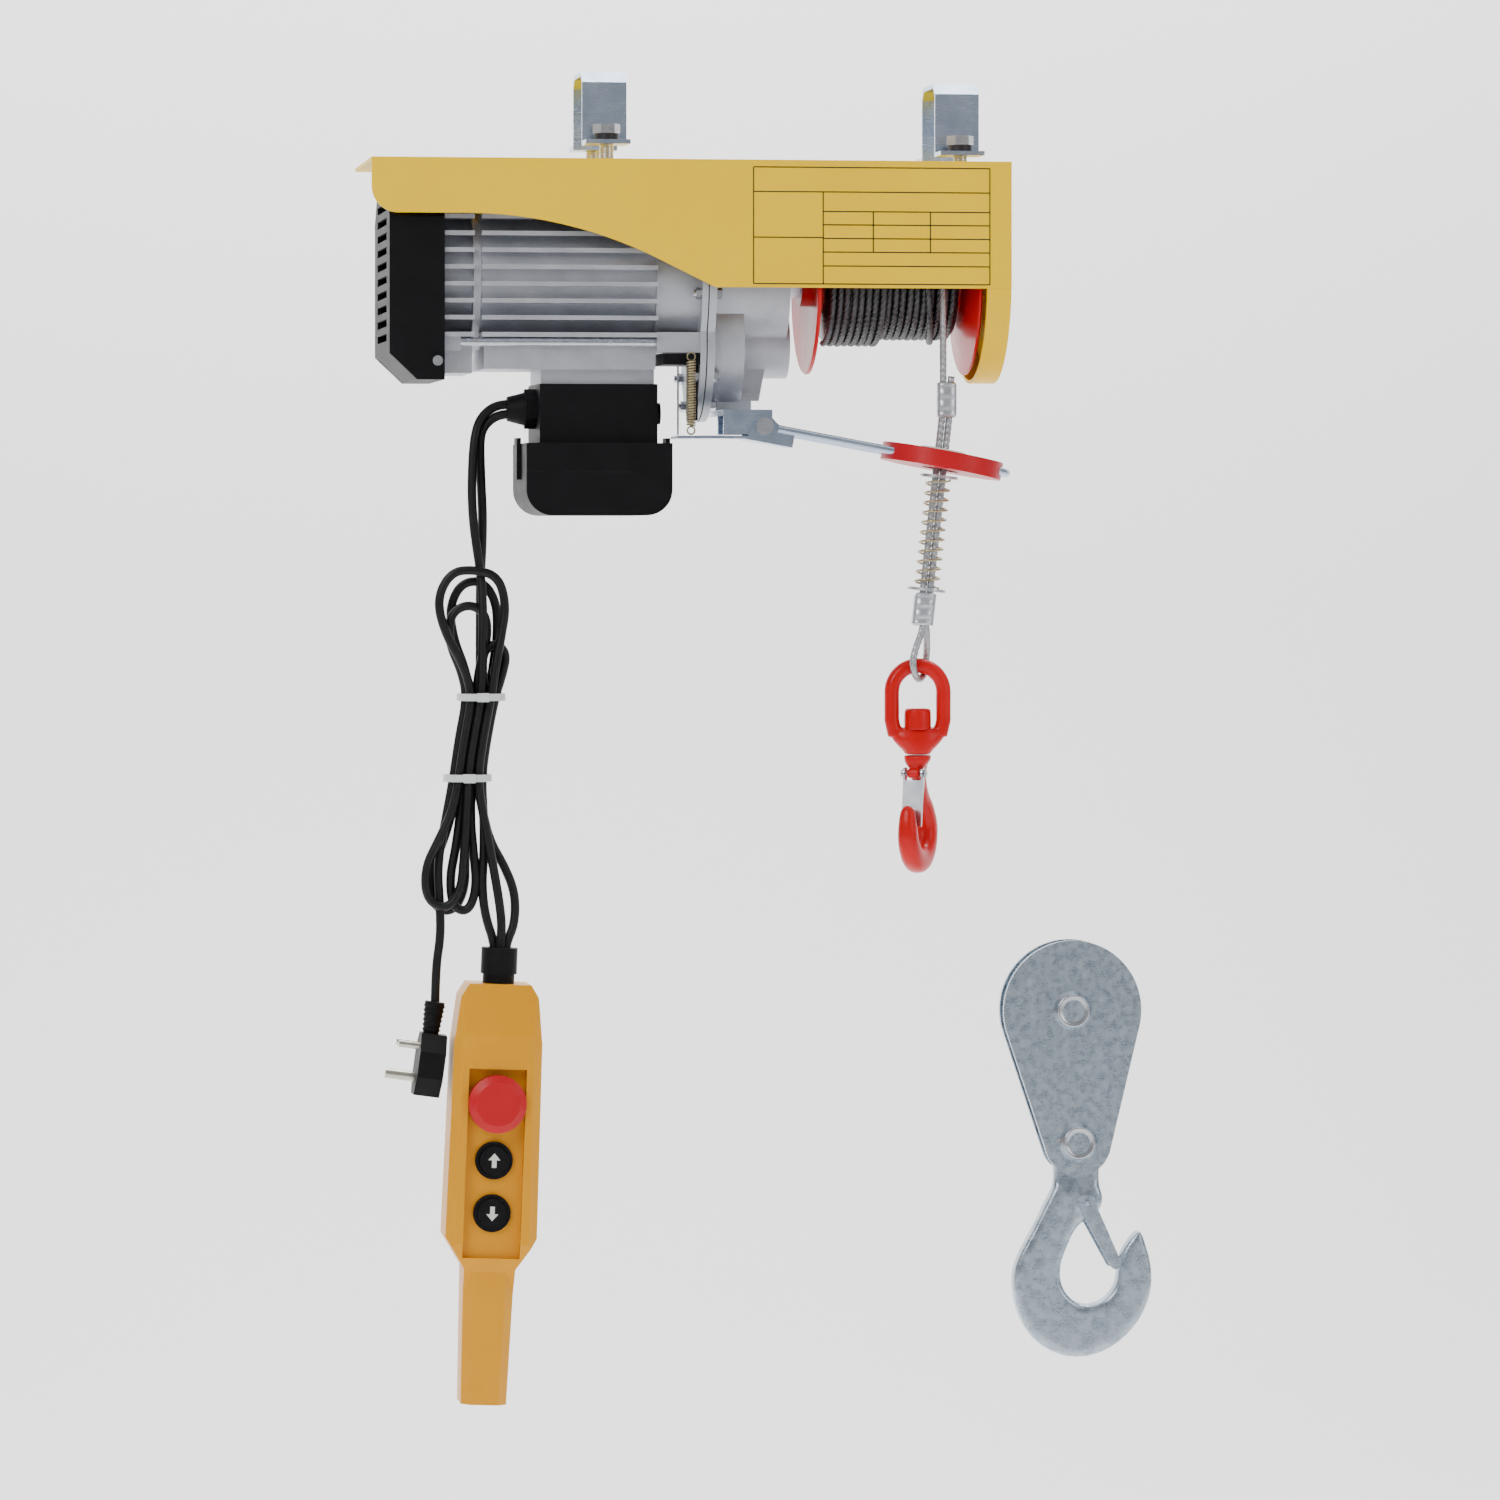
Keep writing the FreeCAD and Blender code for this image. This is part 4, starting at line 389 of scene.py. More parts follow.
# %% Fine scratches from handling
handling_marks, given, wanted = node_group("handling_marks", {"Length": 0.02}, ["Marks"])
spot = add(handling_marks, "ShaderNodeTexCoord")
streaks = None
for turn_by in (0.4, 1.3):
    turned_by = add(handling_marks, "ShaderNodeMapping")
    turned_by.inputs["Rotation"].default_value = (turn_by, turn_by * 0.7, turn_by)
    turned_by.inputs["Scale"].default_value = (1, 26, 26)
    handling_marks.links.new(spot.outputs["Object"], turned_by.inputs["Vector"])
    streak = add(handling_marks, "ShaderNodeTexNoise", Detail=3, Roughness=0.7)
    handling_marks.links.new(turned_by.outputs[0], streak.inputs["Vector"])
    fineness = maths(handling_marks, "DIVIDE", 1.0, given.outputs["Length"])
    handling_marks.links.new(fineness, streak.inputs["Scale"])
    above = maths(handling_marks, "SUBTRACT", streak.outputs[0], 0.6)
    value = maths(handling_marks, "MULTIPLY", above, 5.0, True)
    streaks = value if streaks is None else maths(handling_marks, "MAXIMUM", streaks, value)
handling_marks.links.new(streaks, wanted.inputs["Marks"])
print("shared groups:", [g.name for g in bpy.data.node_groups])

# %% [markdown]
# ## The finishes
# Every finish is one Principled shader. Its colour drifts between two close tones with the mottle, its
# roughness follows the mottle and the handling marks, and its grain lifts the surface a few hundredths of
# a millimetre. The red paint adds a thin clear coat, and most finishes change tone where edges are rubbed.

# %% Make a finish


def finish(name, dark, light, rough, metal=0.0, mottle=0.03, grain=0.0008, lift=0.1, spread=0.08,
           coat=0.0, rub=None, rub_amount=0.5, marks=0.15, specular=0.5):
    """One material: two tones, a roughness with its spread, grain, and rubbed edges if a tone is given."""
    material = bpy.data.materials.new(name)
    material.use_nodes = True
    tree = material.node_tree
    shader = tree.nodes["Principled BSDF"]
    shader.inputs["Metallic"].default_value = metal
    shader.inputs["Specular IOR Level"].default_value = specular
    if coat:
        shader.inputs["Coat Weight"].default_value = coat
        shader.inputs["Coat Roughness"].default_value = 0.08
    surface = add(tree, "ShaderNodeGroup", node_tree=surface_grain)
    surface.inputs["Mottle Size"].default_value = mottle
    surface.inputs["Grain Size"].default_value = grain
    scuffs = add(tree, "ShaderNodeGroup", node_tree=handling_marks)
    blend = add(tree, "ShaderNodeMix", data_type="RGBA")
    blend.inputs["A"].default_value = dark
    blend.inputs["B"].default_value = light
    tree.links.new(surface.outputs["Mottle"], blend.inputs["Factor"])
    colour = blend.outputs["Result"]
    uneven = maths(tree, "MULTIPLY", maths(tree, "SUBTRACT", surface.outputs["Mottle"], 0.5), 2 * spread)
    scuffed = maths(tree, "MULTIPLY", scuffs.outputs["Marks"], marks)
    roughness = maths(tree, "ADD", maths(tree, "ADD", uneven, scuffed), rough, True)
    if rub is not None:
        edges = add(tree, "ShaderNodeGroup", node_tree=edge_rub)
        edges.inputs["Amount"].default_value = rub_amount
        worn = add(tree, "ShaderNodeMix", data_type="RGBA")
        worn.inputs["B"].default_value = rub
        tree.links.new(edges.outputs["Mask"], worn.inputs["Factor"])
        tree.links.new(colour, worn.inputs["A"])
        colour = worn.outputs["Result"]
    bump = add(tree, "ShaderNodeBump", Strength=lift, Distance=0.0004)
    tree.links.new(surface.outputs["Grain"], bump.inputs["Height"])
    tree.links.new(bump.outputs[0], shader.inputs["Normal"])
    tree.links.new(colour, shader.inputs["Base Color"])
    tree.links.new(roughness, shader.inputs["Roughness"])
    return material


# %% All the finishes of the hoist
FINISHES = {
    "yellow_paint": finish("yellow_paint", tone(250, 200, 0), tone(255, 210, 0), 0.4, mottle=0.05,
                           grain=0.0016, lift=0.12, rub=tone(206, 168, 40), rub_amount=0.3, specular=0.12),
    "zinc_plate": finish("zinc_plate", tone(160, 178, 204), tone(202, 214, 232), 0.24, 0.95, mottle=0.02,
                         grain=0.0007, lift=0.14, spread=0.12, rub=tone(235, 238, 242)),
    "bolt_steel": finish("bolt_steel", tone(178, 182, 190), tone(218, 220, 226), 0.25, 0.95, mottle=0.006,
                         grain=0.0003, lift=0.06, rub=tone(240, 240, 242)),
    "black_steel": finish("black_steel", tone(20, 20, 22), tone(38, 38, 42), 0.45, 0.2, mottle=0.006,
                          grain=0.0004, lift=0.15, rub=tone(120, 120, 124), rub_amount=0.35),
    "black_plastic": finish("black_plastic", tone(10, 10, 12), tone(18, 18, 21), 0.5, mottle=0.02,
                            grain=0.0005, lift=0.18, rub=tone(50, 50, 54), rub_amount=0.35, specular=0.14),
    "cast_aluminium": finish("cast_aluminium", tone(160, 163, 170), tone(198, 200, 208), 0.46, 0.55,
                             mottle=0.018, grain=0.0009, lift=0.32, spread=0.1, rub=tone(222, 224, 230)),
    "lamination_steel": finish("lamination_steel", tone(90, 90, 94), tone(140, 140, 144), 0.4, 0.9),
    "copper": finish("copper", tone(150, 70, 40), tone(196, 110, 70), 0.35, 0.9),
    "gasket": finish("gasket", tone(46, 46, 48), tone(62, 62, 64), 0.8, lift=0.3),
    "bright_steel": finish("bright_steel", tone(168, 172, 180), tone(206, 210, 216), 0.22, 0.95,
                           mottle=0.008, grain=0.0003, lift=0.06),
    "spring_steel": finish("spring_steel", tone(150, 138, 104), tone(196, 184, 150), 0.3, 0.9, mottle=0.004),
    "pale_plastic": finish("pale_plastic", tone(216, 216, 208), tone(228, 228, 222), 0.45, lift=0.12),
    "cord_rubber": finish("cord_rubber", tone(10, 10, 12), tone(18, 18, 20), 0.42, mottle=0.012,
                          grain=0.0006, lift=0.16, spread=0.1, marks=0.2, specular=0.3),
    "white_nylon": finish("white_nylon", tone(206, 210, 210), tone(226, 229, 228), 0.32, mottle=0.01),
    "brass": finish("brass", tone(190, 186, 172), tone(216, 212, 200), 0.2, 0.95, mottle=0.006),
    "orange_plastic": finish("orange_plastic", tone(214, 142, 0), tone(226, 156, 4), 0.36, mottle=0.03,
                             grain=0.0006, lift=0.14, rub=tone(232, 180, 70), rub_amount=0.3, specular=0.25),
    "red_paint": finish("red_paint", tone(186, 0, 6), tone(210, 4, 10), 0.32, mottle=0.02, grain=0.0012,
                        lift=0.1, coat=0.12, rub=tone(120, 12, 16), rub_amount=0.3, specular=0.2),
    "red_plastic": finish("red_plastic", tone(176, 6, 20), tone(196, 14, 30), 0.34, mottle=0.02,
                          grain=0.0006, lift=0.12, rub=tone(222, 92, 96), rub_amount=0.25, specular=0.3),
    "greased_rope": finish("greased_rope", tone(42, 42, 44), tone(92, 92, 94), 0.3, 0.75, mottle=0.008,
                           grain=0.0006, lift=0.3, spread=0.14),
    "bright_rope": finish("bright_rope", tone(150, 152, 156), tone(200, 202, 206), 0.32, 0.8, mottle=0.006,
                          grain=0.0005, lift=0.2),
    "ferrule_aluminium": finish("ferrule_aluminium", tone(188, 192, 198), tone(222, 226, 232), 0.3, 0.85,
                                mottle=0.006, grain=0.0006, lift=0.16, rub=tone(240, 242, 246)),
    "galvanised": finish("galvanised", tone(112, 130, 148), tone(206, 218, 228), 0.28, 0.85, mottle=0.006,
                         grain=0.0013, lift=0.26, spread=0.16, rub=tone(232, 238, 242)),
}
print(len(FINISHES), "finishes")

# %% [markdown]
# ## Dressing the CAD parts
# The record names the finish of every part, so one loop dresses them all. A small rounding on each crisp
# edge gives it the thin bright line that real edges have, and it is kept under a millimetre because the
# CAD sizes must not change.

# %% Dress the nodes
BEVELS = {"cast_aluminium": 0.5, "yellow_paint": 0.4, "black_plastic": 0.4, "orange_plastic": 0.5,
          "red_paint": 0.5, "red_plastic": 0.8, "galvanised": 0.8, "zinc_plate": 0.25, "bolt_steel": 0.25,
          "black_steel": 0.25, "pale_plastic": 0.3, "white_nylon": 0.2, "ferrule_aluminium": 0.5}
NO_BEVEL = {"fan_cover", "motor_frame", "cooling_fan", "rotor", "lay_gear", "drum_gear"}
slots = {part["node"]: part["material_slot"] for part in frame["record"]["subparts"]}
for name, obj in nodes.items():
    slot = slots[name]
    obj.data.materials.clear()
    obj.data.materials.append(FINISHES[slot])
    if slot in BEVELS and name not in NO_BEVEL:
        bevel = obj.modifiers.new("soft_edge", "BEVEL")
        bevel.width = BEVELS[slot] * MM
        bevel.segments = 2
        bevel.limit_method = "ANGLE"
        bevel.angle_limit = math.radians(35)
        bevel.harden_normals = False
for cord in cords.values():
    cord.data.materials.append(FINISHES["cord_rubber"])
print("dressed", len(nodes), "parts")

# %% [markdown]
# ## The wire rope
# A wire rope is six strands laid in a helix. On the drum it lies in rows of turns with grease between
# them, and a bump map would leave its outline smooth, so the rope is a real skin: a section with six
# lobes that turns once in every lay as it travels along its line. The wound rows, the two legs between the
# ferrules and the eye all come from the same skin.

# %% A skin for laid rope
ROPE_R = 2.5
LAY = 26.0
LOBES = [1.0, 0.96, 0.84, 0.96] * 6


def laid_rope(name, points, body, slot, radius=ROPE_R, step=2.2):
    """A six-strand rope along points given in millimetres."""
    spots = [Vector(p) for p in points]
    even = [spots[0]]
    for a, b in zip(spots, spots[1:]):
        pieces = max(1, round((b - a).length / step))
        even += [a.lerp(b, (k + 1) / pieces) for k in range(pieces)]
    rings, run, before = [], 0.0, even[0]
    for point, _, across, along in frames_along(even):
        run += (point - before).length
        before = point
        turn_now = 2 * math.pi * run / LAY
        ring = []
        for k, lobe in enumerate(LOBES):
            angle = 2 * math.pi * k / len(LOBES) + turn_now
            ring.append((point + (across * math.cos(angle) + along * math.sin(angle)) * radius * lobe) * MM)
        rings.append(ring)
    verts, faces = loft(rings)
    return link(mesh_from(name, verts, faces), body, FINISHES[slot]), run


# %% The rows on the drum
AXIS_Z = -105.0
wound_low, wound_high = (v.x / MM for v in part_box("rope_winding"))
PITCH = 5.04


def row_of_turns(start, end, radius, slack=0.0):
    """Points of a helix about the drum's axis, with a little unevenness from one turn to the next."""
    turns = abs(end - start) / PITCH
    count = int(turns * 110)
    out = []
    for k in range(count + 1):
        share = k / count
        angle = 2 * math.pi * turns * share
        wander = slack * math.sin(angle * 0.37) * math.sin(angle * 1.9 + 1)
        grown = radius + 0.12 * math.sin(angle * 0.61)
        out.append((start + (end - start) * share + wander, -grown * math.sin(angle),
                    AXIS_Z - grown * math.cos(angle)))
    return out


_, long_under = laid_rope("rope_row_under", row_of_turns(73.5, wound_high - 3.6, 39.6, 0.25),
                          "drum", "greased_rope")
over_row, long_over = laid_rope("rope_row_over", row_of_turns(wound_low + 3.6, 73.5, 44.0, 0.3),
                                "drum", "greased_rope")
crossing = []
for k in range(61):
    angle = math.pi * (-0.15 + 1.3 * k / 60)
    high = 42.0 + 2.2 * math.sin(math.pi * k / 60)
    crossing.append((88 + 24 * k / 60, -high * math.sin(angle), AXIS_Z + high * math.cos(angle)))
laid_rope("rope_loose_turn", crossing, "drum", "greased_rope")
core_profile = [(wound_low + 1.5, 24), (wound_low + 3, 41.5), (74, 41.5), (75, 37.4),
                (wound_high - 3, 37.4), (wound_high - 1.5, 24)]
core_verts, core_faces = turned_piece([(d * MM, r * MM) for d, r in core_profile],
                                      (0, 0, AXIS_Z * MM), (1, 0, 0), 64)
link(mesh_from("rope_rows_within", core_verts, core_faces), "drum", FINISHES["greased_rope"])
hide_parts("rope_winding")
print("rope shown on the drum:", round((long_under + long_over) * MM, 1), "m")

# %% The legs and the eye under the disc
FALL_Y = -45.4
for side, side_name in ((-2.55, "left"), (2.55, "right")):
    laid_rope("rope_leg_" + side_name, [(113.1 + side, FALL_Y, -200.8), (99.3 + side, FALL_Y, -325)],
              "fall", "bright_rope")
eye_rows = [(97.4, -46.5, -344), (95.2, -49, -352), (90.6, -53, -363), (88.6, -54.6, -372),
            (90.4, -52, -380.5), (94.2, -46.6, -383.8), (98.4, -40.8, -380.5), (100.6, -36.4, -372),
            (101, -37.8, -363), (100.2, -42, -352), (98.8, -44.6, -344)]
eye_line = smooth_rows(eye_rows, 8)
eye, _ = laid_rope("rope_eye", eye_line, "fall", "bright_rope")
laid_rope("rope_dead_end", [(116.5, FALL_Y, -178.6), (117.1, FALL_Y, -173.2)], "fall", "bright_rope")
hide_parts("hook_rope")

# %% [markdown]
# The straight fall gets longer as the hook goes down. Here its skin runs once from the drum to the rope's end
# at the ferrule and is baked in place. The arm's tension spring and pull wire, which reach from the gearbox
# to the arm, are copies of their CAD parts baked in the same way; nothing here makes them stretch.

# %% The fall, the spring and the wire
fall_skin, _ = laid_rope("rope_fall_strands", [(111.3, FALL_Y, -105), (111.3, FALL_Y, -177.6)], None,
                         "bright_rope")
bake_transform(fall_skin)
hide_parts("rope_fall")
for name, top_z in (("limit_spring", -0.158), ("limit_wire", -0.166)):
    low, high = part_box(name)
    stretched = nodes[name].copy()
    stretched.data = nodes[name].data.copy()
    stretched.parent = None
    stretched.matrix_world = nodes[name].matrix_world.copy()
    stretched.name = name + "_stretched"
    link(stretched, None, FINISHES[slots[name]])
    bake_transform(stretched)
    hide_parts(name)

# %% [markdown]
# ## The forged link and hooks
# A drop-forged hook has no sharp meeting of one shape with another: bar, boss and bowl flow together. Each
# is laid out as overlapping skins, a voxel remesh joins them into one, and a smooth rounds the joins the
# way a forging die would.

# %% Join skins into a forging


def forged(name, parts, body, slot, voxel=0.75, rounds=5):
    """Overlapping skins in millimetres, made one body with rounded joins."""
    verts, faces = joined(parts)
    obj = mesh_from(name, [Vector(v) * MM for v in verts], faces)
    link(obj, body, FINISHES[slot])
    remesh = obj.modifiers.new("one_body", "REMESH")
    remesh.mode = "VOXEL"
    remesh.voxel_size = voxel * MM
    remesh.use_smooth_shade = True
    rounding = obj.modifiers.new("die_rounding", "SMOOTH")
    rounding.factor = 0.5
    rounding.iterations = rounds
    return obj


def bar_with_sections(rows, place_at, sides=20, steps=5, power=2.4):
    """A skin over rows of (forward, height, half in the plane, half across), each a soft rectangle.
    place_at turns (across, forward, height) into a point."""
    rows = smooth_rows(rows, steps)
    rings = []
    for i, (forward, height, half_in, half_across) in enumerate(rows):
        ahead = rows[min(i + 1, len(rows) - 1)][:2] - rows[max(i - 1, 0)][:2]
        ahead = ahead / np.linalg.norm(ahead)
        ring = []
        for k in range(sides):
            a = 2 * math.pi * k / sides
            c, s = math.cos(a), math.sin(a)
            c = math.copysign(abs(c) ** (2 / power), c)
            s = math.copysign(abs(s) ** (2 / power), s)
            ring.append(place_at(s * half_across, forward - ahead[1] * c * half_in,
                                 height + ahead[0] * c * half_in))
        rings.append(ring)
    return loft(rings)


# %% The swivel link
LINK_X = 93.3
LINK_TOP, LINK_LOW = -369.0, -436.0
LINK_R = 5.3
half_wide = 23.5 - LINK_R
arch_z = LINK_TOP - LINK_R - half_wide
ring_line = [(LINK_X - half_wide + 2.5, FALL_Y, LINK_LOW + 13), (LINK_X - half_wide, FALL_Y, arch_z - 20)]
ring_line += [(LINK_X - half_wide * math.cos(a), FALL_Y, arch_z + half_wide * math.sin(a))
              for a in np.linspace(0, math.pi, 25)]
ring_line += [(LINK_X + half_wide, FALL_Y, arch_z - 20), (LINK_X + half_wide - 2.5, FALL_Y, LINK_LOW + 13)]
boss_rows = smooth_rows([(-417.2, 13, 4), (-419.5, 17.6, 7.6), (-424.5, 18.2, 9.4), (-429.5, 14.4, 9.6),
                         (-433.5, 10.4, 9.2), (-436, 8.8, 8.4)], 5)
boss_rings = []
for z, half_x, half_y in boss_rows:
    boss_rings.append([(LINK_X + half_x * math.cos(a), FALL_Y + half_y * math.sin(a), z)
                       for a in np.linspace(0, 2 * math.pi, 32, endpoint=False)])
swivel_link = forged("swivel_link", [pipe(ring_line, LINK_R, 18), loft([[Vector(p) for p in ring]
                                                                          for ring in boss_rings])],
                     "fall", "red_paint", 0.75, 10)
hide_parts("hook_link")

# %% The swivel hook
TURN = math.radians(-27)


def on_stem(across, forward, height):
    """From the hook's own directions to the row frame, in millimetres; forward is away from the tip."""
    return Vector((LINK_X + across * math.cos(TURN) - forward * math.sin(TURN),
                   FALL_Y + across * math.sin(TURN) + forward * math.cos(TURN), height))


bowl_rows = [
    (0, -436.6, 9.2, 9.2), (0.2, -440, 9.3, 9.0), (1.5, -444.5, 8.0, 6.2), (3.0, -451, 6.6, 4.9),
    (4.8, -460, 7.6, 4.9), (10, -468.5, 8.2, 5.3), (16, -476.5, 8.2, 6.8), (20.6, -487, 8.2, 7.6),
    (18, -499, 8.6, 7.9), (9.5, -507.4, 9.0, 7.9), (-1.5, -509.6, 9.0, 7.9), (-12.5, -505.4, 8.4, 7.6),
    (-20.2, -496.8, 7.6, 7.2), (-22.6, -487, 6.6, 6.6), (-22.9, -478, 5.0, 5.6), (-22.9, -473.4, 3.4, 4.2),
    (-22.8, -471, 1.4, 2.0)]
bowl = bar_with_sections(bowl_rows, on_stem)
lug = turned_piece([(-4.4, 2.6), (-3.6, 3.5), (3.6, 3.5), (4.4, 2.6)], on_stem(0, -7.9, -449),
                   (math.cos(TURN), math.sin(TURN), 0), 24)
lug_rows = [(-6, -449, 3.2, 4.2), (0, -449.5, 4.2, 4.6), (4, -450, 4.5, 4.6)]
lug_root = bar_with_sections(lug_rows, on_stem, steps=3)
head_profile = [(-404.2, 4.5), (-403.9, 7.8), (-405.4, 9.2), (-410, 9.45), (-418.6, 9.4), (-419, 9.0)]
stem_head = turned_piece(head_profile, (LINK_X, FALL_Y, 0), (0, 0, 1), 28)
swivel_hook = forged("swivel_hook", [bowl, lug, lug_root], "hook", "red_paint", 0.7)
forged("swivel_stem_head", [stem_head], "hook", "red_paint", 0.7, 6)
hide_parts("red_hook")
pin_rows = [(-9.2, 1.0), (-9.0, 2.5), (-7.6, 2.7), (-7.4, 1.5),
            (7.4, 1.5), (7.6, 2.7), (9.0, 2.5), (9.2, 1.0)]
pin_verts, pin_faces = turned_piece([(d * MM, r * MM) for d, r in pin_rows], on_stem(0, -8, -449) * MM,
                                    (math.cos(TURN), math.sin(TURN), 0), 24)
link(mesh_from("hook_latch_rivet", pin_verts, pin_faces), "hook", FINISHES["bright_steel"])
print("swivel hook from", round(min((on_stem(0, r[0], r[1]).y) for r in bowl_rows), 1), "mm forward")

# %% [markdown]
# The hook of the loose block is forged too. Its outline is already right in the CAD, so a copy of that
# skin is remeshed and smoothed further, which rounds the flat sides over as a die leaves them.

# %% The block's hook
cast_hook = nodes["block_hook"].copy()
cast_hook.data = nodes["block_hook"].data.copy()
cast_hook.name = "block_hook_forging"
cast_hook.modifiers.clear()
link(cast_hook, "block_hook", FINISHES["galvanised"])
remesh = cast_hook.modifiers.new("one_body", "REMESH")
remesh.mode = "VOXEL"
remesh.voxel_size = 1.2 * MM
remesh.use_smooth_shade = True
rounding = cast_hook.modifiers.new("die_rounding", "SMOOTH")
rounding.factor = 0.5
rounding.iterations = 60
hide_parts("block_hook")

# %% [markdown]
# ## Printed panel and small marks
# The panel on the housing is only ruled lines here, printed on the paint, so each line is a strip a few
# hundredths of a millimetre proud of the sheet. The two push buttons carry an arrow each.

# %% The ruled panel
PRINT_Y = -72.04
PANEL_X = (-25.6, 22.9, 57.9, 97.9, 139.6)
PANEL_Z = (-30.0, -46.9, -60.4, -69.6, -79.0, -88.4, -98.0, -110.4)
LINE = 0.9


def strip(x0, z0, x1, z1):
    """Four corners of one printed line."""
    wide_x, wide_z = (LINE / 2, 0) if x0 == x1 else (0, LINE / 2)
    return [(x0 - wide_x, PRINT_Y, z0 + wide_z), (x1 + wide_x, PRINT_Y, z0 + wide_z if x0 != x1 else z0),
            (x1 + wide_x, PRINT_Y, z1 - wide_z), (x0 - wide_x, PRINT_Y, z1 - wide_z if x0 != x1 else z1)]


LEFT_ROW_Z = -78.4
left, middle_line, third, fourth, right = PANEL_X
rules = [(left, PANEL_Z[0], right, PANEL_Z[0]), (left, PANEL_Z[1], right, PANEL_Z[1]),
         (left, PANEL_Z[-1], right, PANEL_Z[-1]), (left, LEFT_ROW_Z, middle_line, LEFT_ROW_Z)]
rules += [(middle_line, z, right, z) for z in PANEL_Z[2:7]]
rules += [(x, PANEL_Z[0], x, PANEL_Z[-1]) for x in (left, right)]
rules += [(middle_line, PANEL_Z[1], middle_line, PANEL_Z[-1])]
rules += [(x, PANEL_Z[2], x, PANEL_Z[5]) for x in (third, fourth)]
corners = [strip(*rule) for rule in rules]
panel_verts = [Vector(p) * MM for four in corners for p in four]
panel_faces = [tuple(range(4 * i, 4 * i + 4)) for i in range(len(corners))]
FINISHES["print_black"] = finish("print_black", tone(34, 28, 14), tone(48, 40, 20), 0.5, lift=0.02)
link(mesh_from("panel_rules", panel_verts, panel_faces, False), "root", FINISHES["print_black"])

# %% Arrows on the buttons
PENDANT = Vector((-196, -20, -569))
LEAN = math.radians(2.2)
FINISHES["print_white"] = finish("print_white", tone(206, 206, 200), tone(222, 222, 216), 0.5, lift=0.02)


def on_pendant(across, out, height):
    """From the pendant's own directions to the row frame, in metres."""
    return (PENDANT + Vector((across * math.cos(LEAN) + height * math.sin(LEAN), out,
                              height * math.cos(LEAN) - across * math.sin(LEAN)))) * MM


def arrow(name, node, body, height, up):
    """A flat arrow just proud of a button's face."""
    face_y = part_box(node)[0].y / MM - PENDANT.y - 0.03
    outline = [(0, 5.2), (4.2, 0.4), (1.6, 0.4), (1.6, -4.8), (-1.6, -4.8), (-1.6, 0.4), (-4.2, 0.4)]
    spots = [on_pendant(x, face_y, height + (z if up else -z)) for x, z in outline]
    return link(mesh_from(name, spots, [tuple(range(7))], False), body, FINISHES["print_white"])


up_arrow = arrow("arrow_up", "up_button", "button_up", -146.6, True)
down_arrow = arrow("arrow_down", "down_button", "button_down", -183.0, False)
print("arrows at", [round(v.z, 3) for v in (up_arrow.data.vertices[0].co, down_arrow.data.vertices[0].co)])

# %% [markdown]
# ## Pressed sleeves, threads and rivets
# An aluminium sleeve is squeezed in a die in three bites, and the bites leave shallow waists. The shanks
# between bracket and housing are fully threaded. Both read clearly against the pale floor.

# %% Pressed sleeves


def pressed_sleeve(name, centre_x, low, high, half_x, half_y, lean):
    """An oval sleeve with three bites, leaning about Y by the angle given in degrees."""
    tilt = math.tan(math.radians(lean))
    rings = []
    for k in range(41):
        share = k / 40
        height = low + (high - low) * share
        waist = 0.55 * (0.5 - 0.5 * math.cos(share * 6 * math.pi))
        end = 1.1 * (max(0.0, 0.07 - share) + max(0.0, share - 0.93)) / 0.07
        ring = []
        for a in np.linspace(0, 2 * math.pi, 36, endpoint=False):
            c, s = math.cos(a), math.sin(a)
            out_x = (half_x - end) * math.copysign(abs(c) ** 0.8, c)
            out_y = (half_y - end - waist) * math.copysign(abs(s) ** 0.8, s)
            ring.append(Vector((centre_x + tilt * (height - low) + out_x, FALL_Y + out_y, height)) * MM)
        rings.append(ring)
    verts, faces = loft(rings)
    return link(mesh_from(name, verts, faces), "fall", FINISHES["ferrule_aluminium"])


pressed_sleeve("sleeve_high", 113.9, -201.8, -177.2, 6.9, 5.2, 0)
pressed_sleeve("sleeve_low", 96.2, -346.4, -323.8, 7.5, 5.6, 6.4)

# %% Threads of the bracket bolts
HOUSING_TOP, BRACKET_X, BOLT_Y = -24.9, 124, 41
THREAD_PITCH, THREAD_ROOT, THREAD_DEPTH, THREAD_STEP = 1.5, 4.5, 0.6, 0.25
threads = []
for x, lift in ((-BRACKET_X, 11.5), (BRACKET_X, 5.5)):
    for y in (-BOLT_Y, BOLT_Y):
        rings = []
        for k in range(int(lift / THREAD_STEP) + 1):
            height = HOUSING_TOP + THREAD_STEP * k
            ring = []
            for a in np.linspace(0, 2 * math.pi, 24, endpoint=False):
                crest = abs(((height / THREAD_PITCH - a / (2 * math.pi)) % 1) - 0.5) * 2
                radius = THREAD_ROOT + THREAD_DEPTH * crest
                ring.append(Vector((x + radius * math.cos(a), y + radius * math.sin(a), height)) * MM)
            rings.append(ring)
        threads.append(loft(rings))
thread_verts, thread_faces = joined(threads)
link(mesh_from("bracket_bolt_threads", thread_verts, thread_faces), "root", FINISHES["bolt_steel"])

# %% Rivet heads of the block
pins_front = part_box("block_pins")[0].y / MM
HEAD_SUNK = 1.2
SHEAVE_PIN, EYE_PIN = (206, -616.5, 11.4), (210, -709, 11.2)
rivets = []
for x, z, radius in (SHEAVE_PIN, EYE_PIN):
    profile = [(0, radius - 0.2), (0.5, radius + 0.25), (1.5, radius + 0.1), (1.9, radius - 1.0),
               (1.3, radius - 1.9), (1.1, radius * 0.5), (0.9, 0.05)]
    face = pins_front + HEAD_SUNK
    rivets.append(turned_piece([(d * MM, r * MM) for d, r in profile],
                               (x * MM, face * MM, z * MM), (0, -1, 0), 40))
rivet_verts, rivet_faces = joined(rivets)
link(mesh_from("block_rivet_heads", rivet_verts, rivet_faces), "block", FINISHES["bright_steel"])

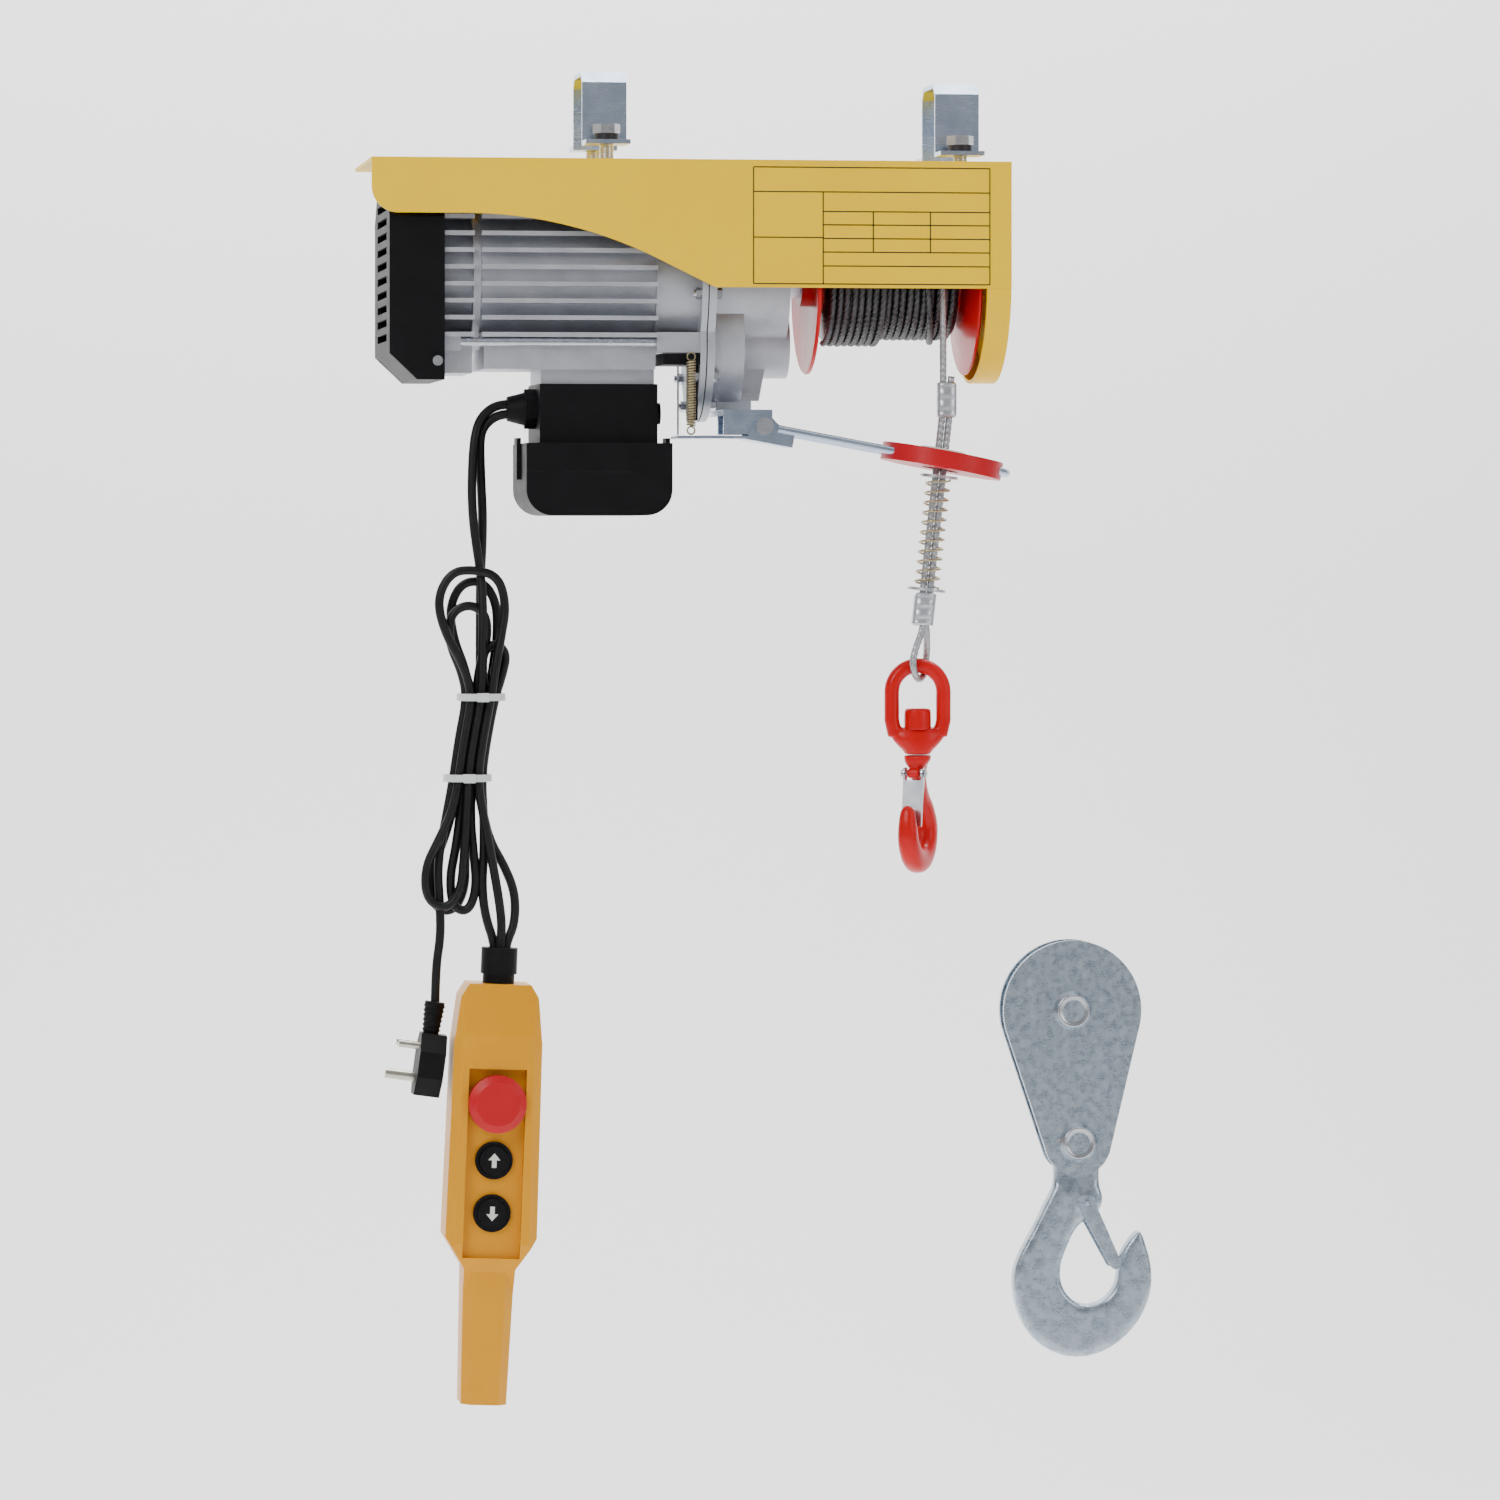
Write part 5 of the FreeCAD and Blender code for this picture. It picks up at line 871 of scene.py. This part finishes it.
# %% Bush of the limit disc
disc_low, disc_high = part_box("limit_disc")
disc_centre = (disc_low + disc_high) / 2
ARM_SLOPE = math.radians(10.5)
bush_profile = [(5.6, 13.2), (5.6, 17.0), (7.6, 16.6), (8.2, 15.9), (8.2, 13.5), (7.6, 13.2)]
bush_verts, bush_faces = turned_piece([(d * MM, r * MM) for d, r in bush_profile], disc_centre,
                                      (math.sin(ARM_SLOPE), 0, math.cos(ARM_SLOPE)), 40)
link(mesh_from("disc_bush", bush_verts, bush_faces), "limit_arm", FINISHES["pale_plastic"])

# %% Ribs of the plug's relief
PLUG_TOP = Vector((-240.5, -15, -607)) * MM
PLUG_LEAN = math.radians(8)
relief_profile = [(-22, 5.4)]
for k in range(6):
    low = -20.5 + 3.3 * k
    radius = 5.75 + 1.5 * (low + 22) / 22
    relief_profile += [(low, radius - 0.3), (low + 0.5, radius + 0.35), (low + 1.6, radius + 0.45),
                       (low + 2.1, radius - 0.2)]
relief_profile.append((0, 6.2))
relief_verts, relief_faces = turned_piece([(d * MM, r * MM) for d, r in relief_profile],
                                          PLUG_TOP, (math.sin(PLUG_LEAN), 0, math.cos(PLUG_LEAN)), 32)
link(mesh_from("plug_relief_ribs", relief_verts, relief_faces), "root", FINISHES["black_plastic"])
print("added", len(threads), "threads,", len(rivets), "rivet heads, a bush and the plug's ribs")

# %% [markdown]
# ## Floor and light
# The hoist hangs, so the floor is low enough for the hook at the end of its travel. A pale sweep under soft
# light from above and both sides shows the shapes without hard shadows. The key light is to the left and
# above, so the right faces of the drum and the hook fall off a little. The sweep has a light of its own,
# which keeps the background pale while the metal stays in gentler light and keeps its contrast.

# %% Floor
HOOK_ROOM = 0.25
floor_z = cad_low.z - HOOK_ROOM
sweep_rows = [(-3.6, 0.0), (1.0, 0.0)]
sweep_rows += [(1.0 + 0.8 * math.sin(a), 0.8 - 0.8 * math.cos(a)) for a in np.linspace(0.1, math.pi / 2, 12)]
sweep_rows.append((1.8, 4.0))
wide = 5.0
sweep_points = [(side * wide, y, floor_z + z) for side in (-1, 1) for y, z in sweep_rows]
n = len(sweep_rows)
sweep = mesh_from("studio_sweep", sweep_points, [(i, i + 1, n + i + 1, n + i) for i in range(n - 1)])
bpy.context.scene.collection.objects.link(sweep)
paper = bpy.data.materials.new("studio_paper")
paper.use_nodes = True
paper.node_tree.nodes["Principled BSDF"].inputs["Base Color"].default_value = (0.95, 0.95, 0.95, 1)
paper.node_tree.nodes["Principled BSDF"].inputs["Roughness"].default_value = 0.9
sweep.data.materials.append(paper)

# %% Lights


def soft_light(name, place, target, size, power):
    data = bpy.data.lights.new(name, "AREA")
    data.shape = "RECTANGLE"
    data.size, data.size_y = size
    data.energy = power
    light = bpy.data.objects.new(name, data)
    light.location = place
    aim = Vector(target) - Vector(place)
    light.rotation_euler = aim.to_track_quat("-Z", "Y").to_euler()
    bpy.context.scene.collection.objects.link(light)
    return light


middle = (0, 0, -0.4)
soft_light("key_left", (-1.7, -2.0, 1.1), middle, (1.2, 1.6), 38)
soft_light("fill_right", (1.9, -1.7, 0.3), middle, (1.0, 1.8), 13)
soft_light("top_soft", (0, -0.2, 1.8), middle, (2.4, 1.2), 20)
low_front = soft_light("low_front", (0, -2.6, -1.0), middle, (2.4, 0.5), 5)
low_front.visible_glossy = False
soft_light("backdrop_glow", (0, 0.5, 1.7), (0, 1.8, -0.2), (3.6, 0.6), 135)
world = bpy.data.worlds.new("studio_air")
world.use_nodes = True
world.node_tree.nodes["Background"].inputs["Color"].default_value = (1, 1, 1, 1)
world.node_tree.nodes["Background"].inputs["Strength"].default_value = 0.4
bpy.context.scene.world = world

# %% Update the scene
bpy.context.view_layer.update()
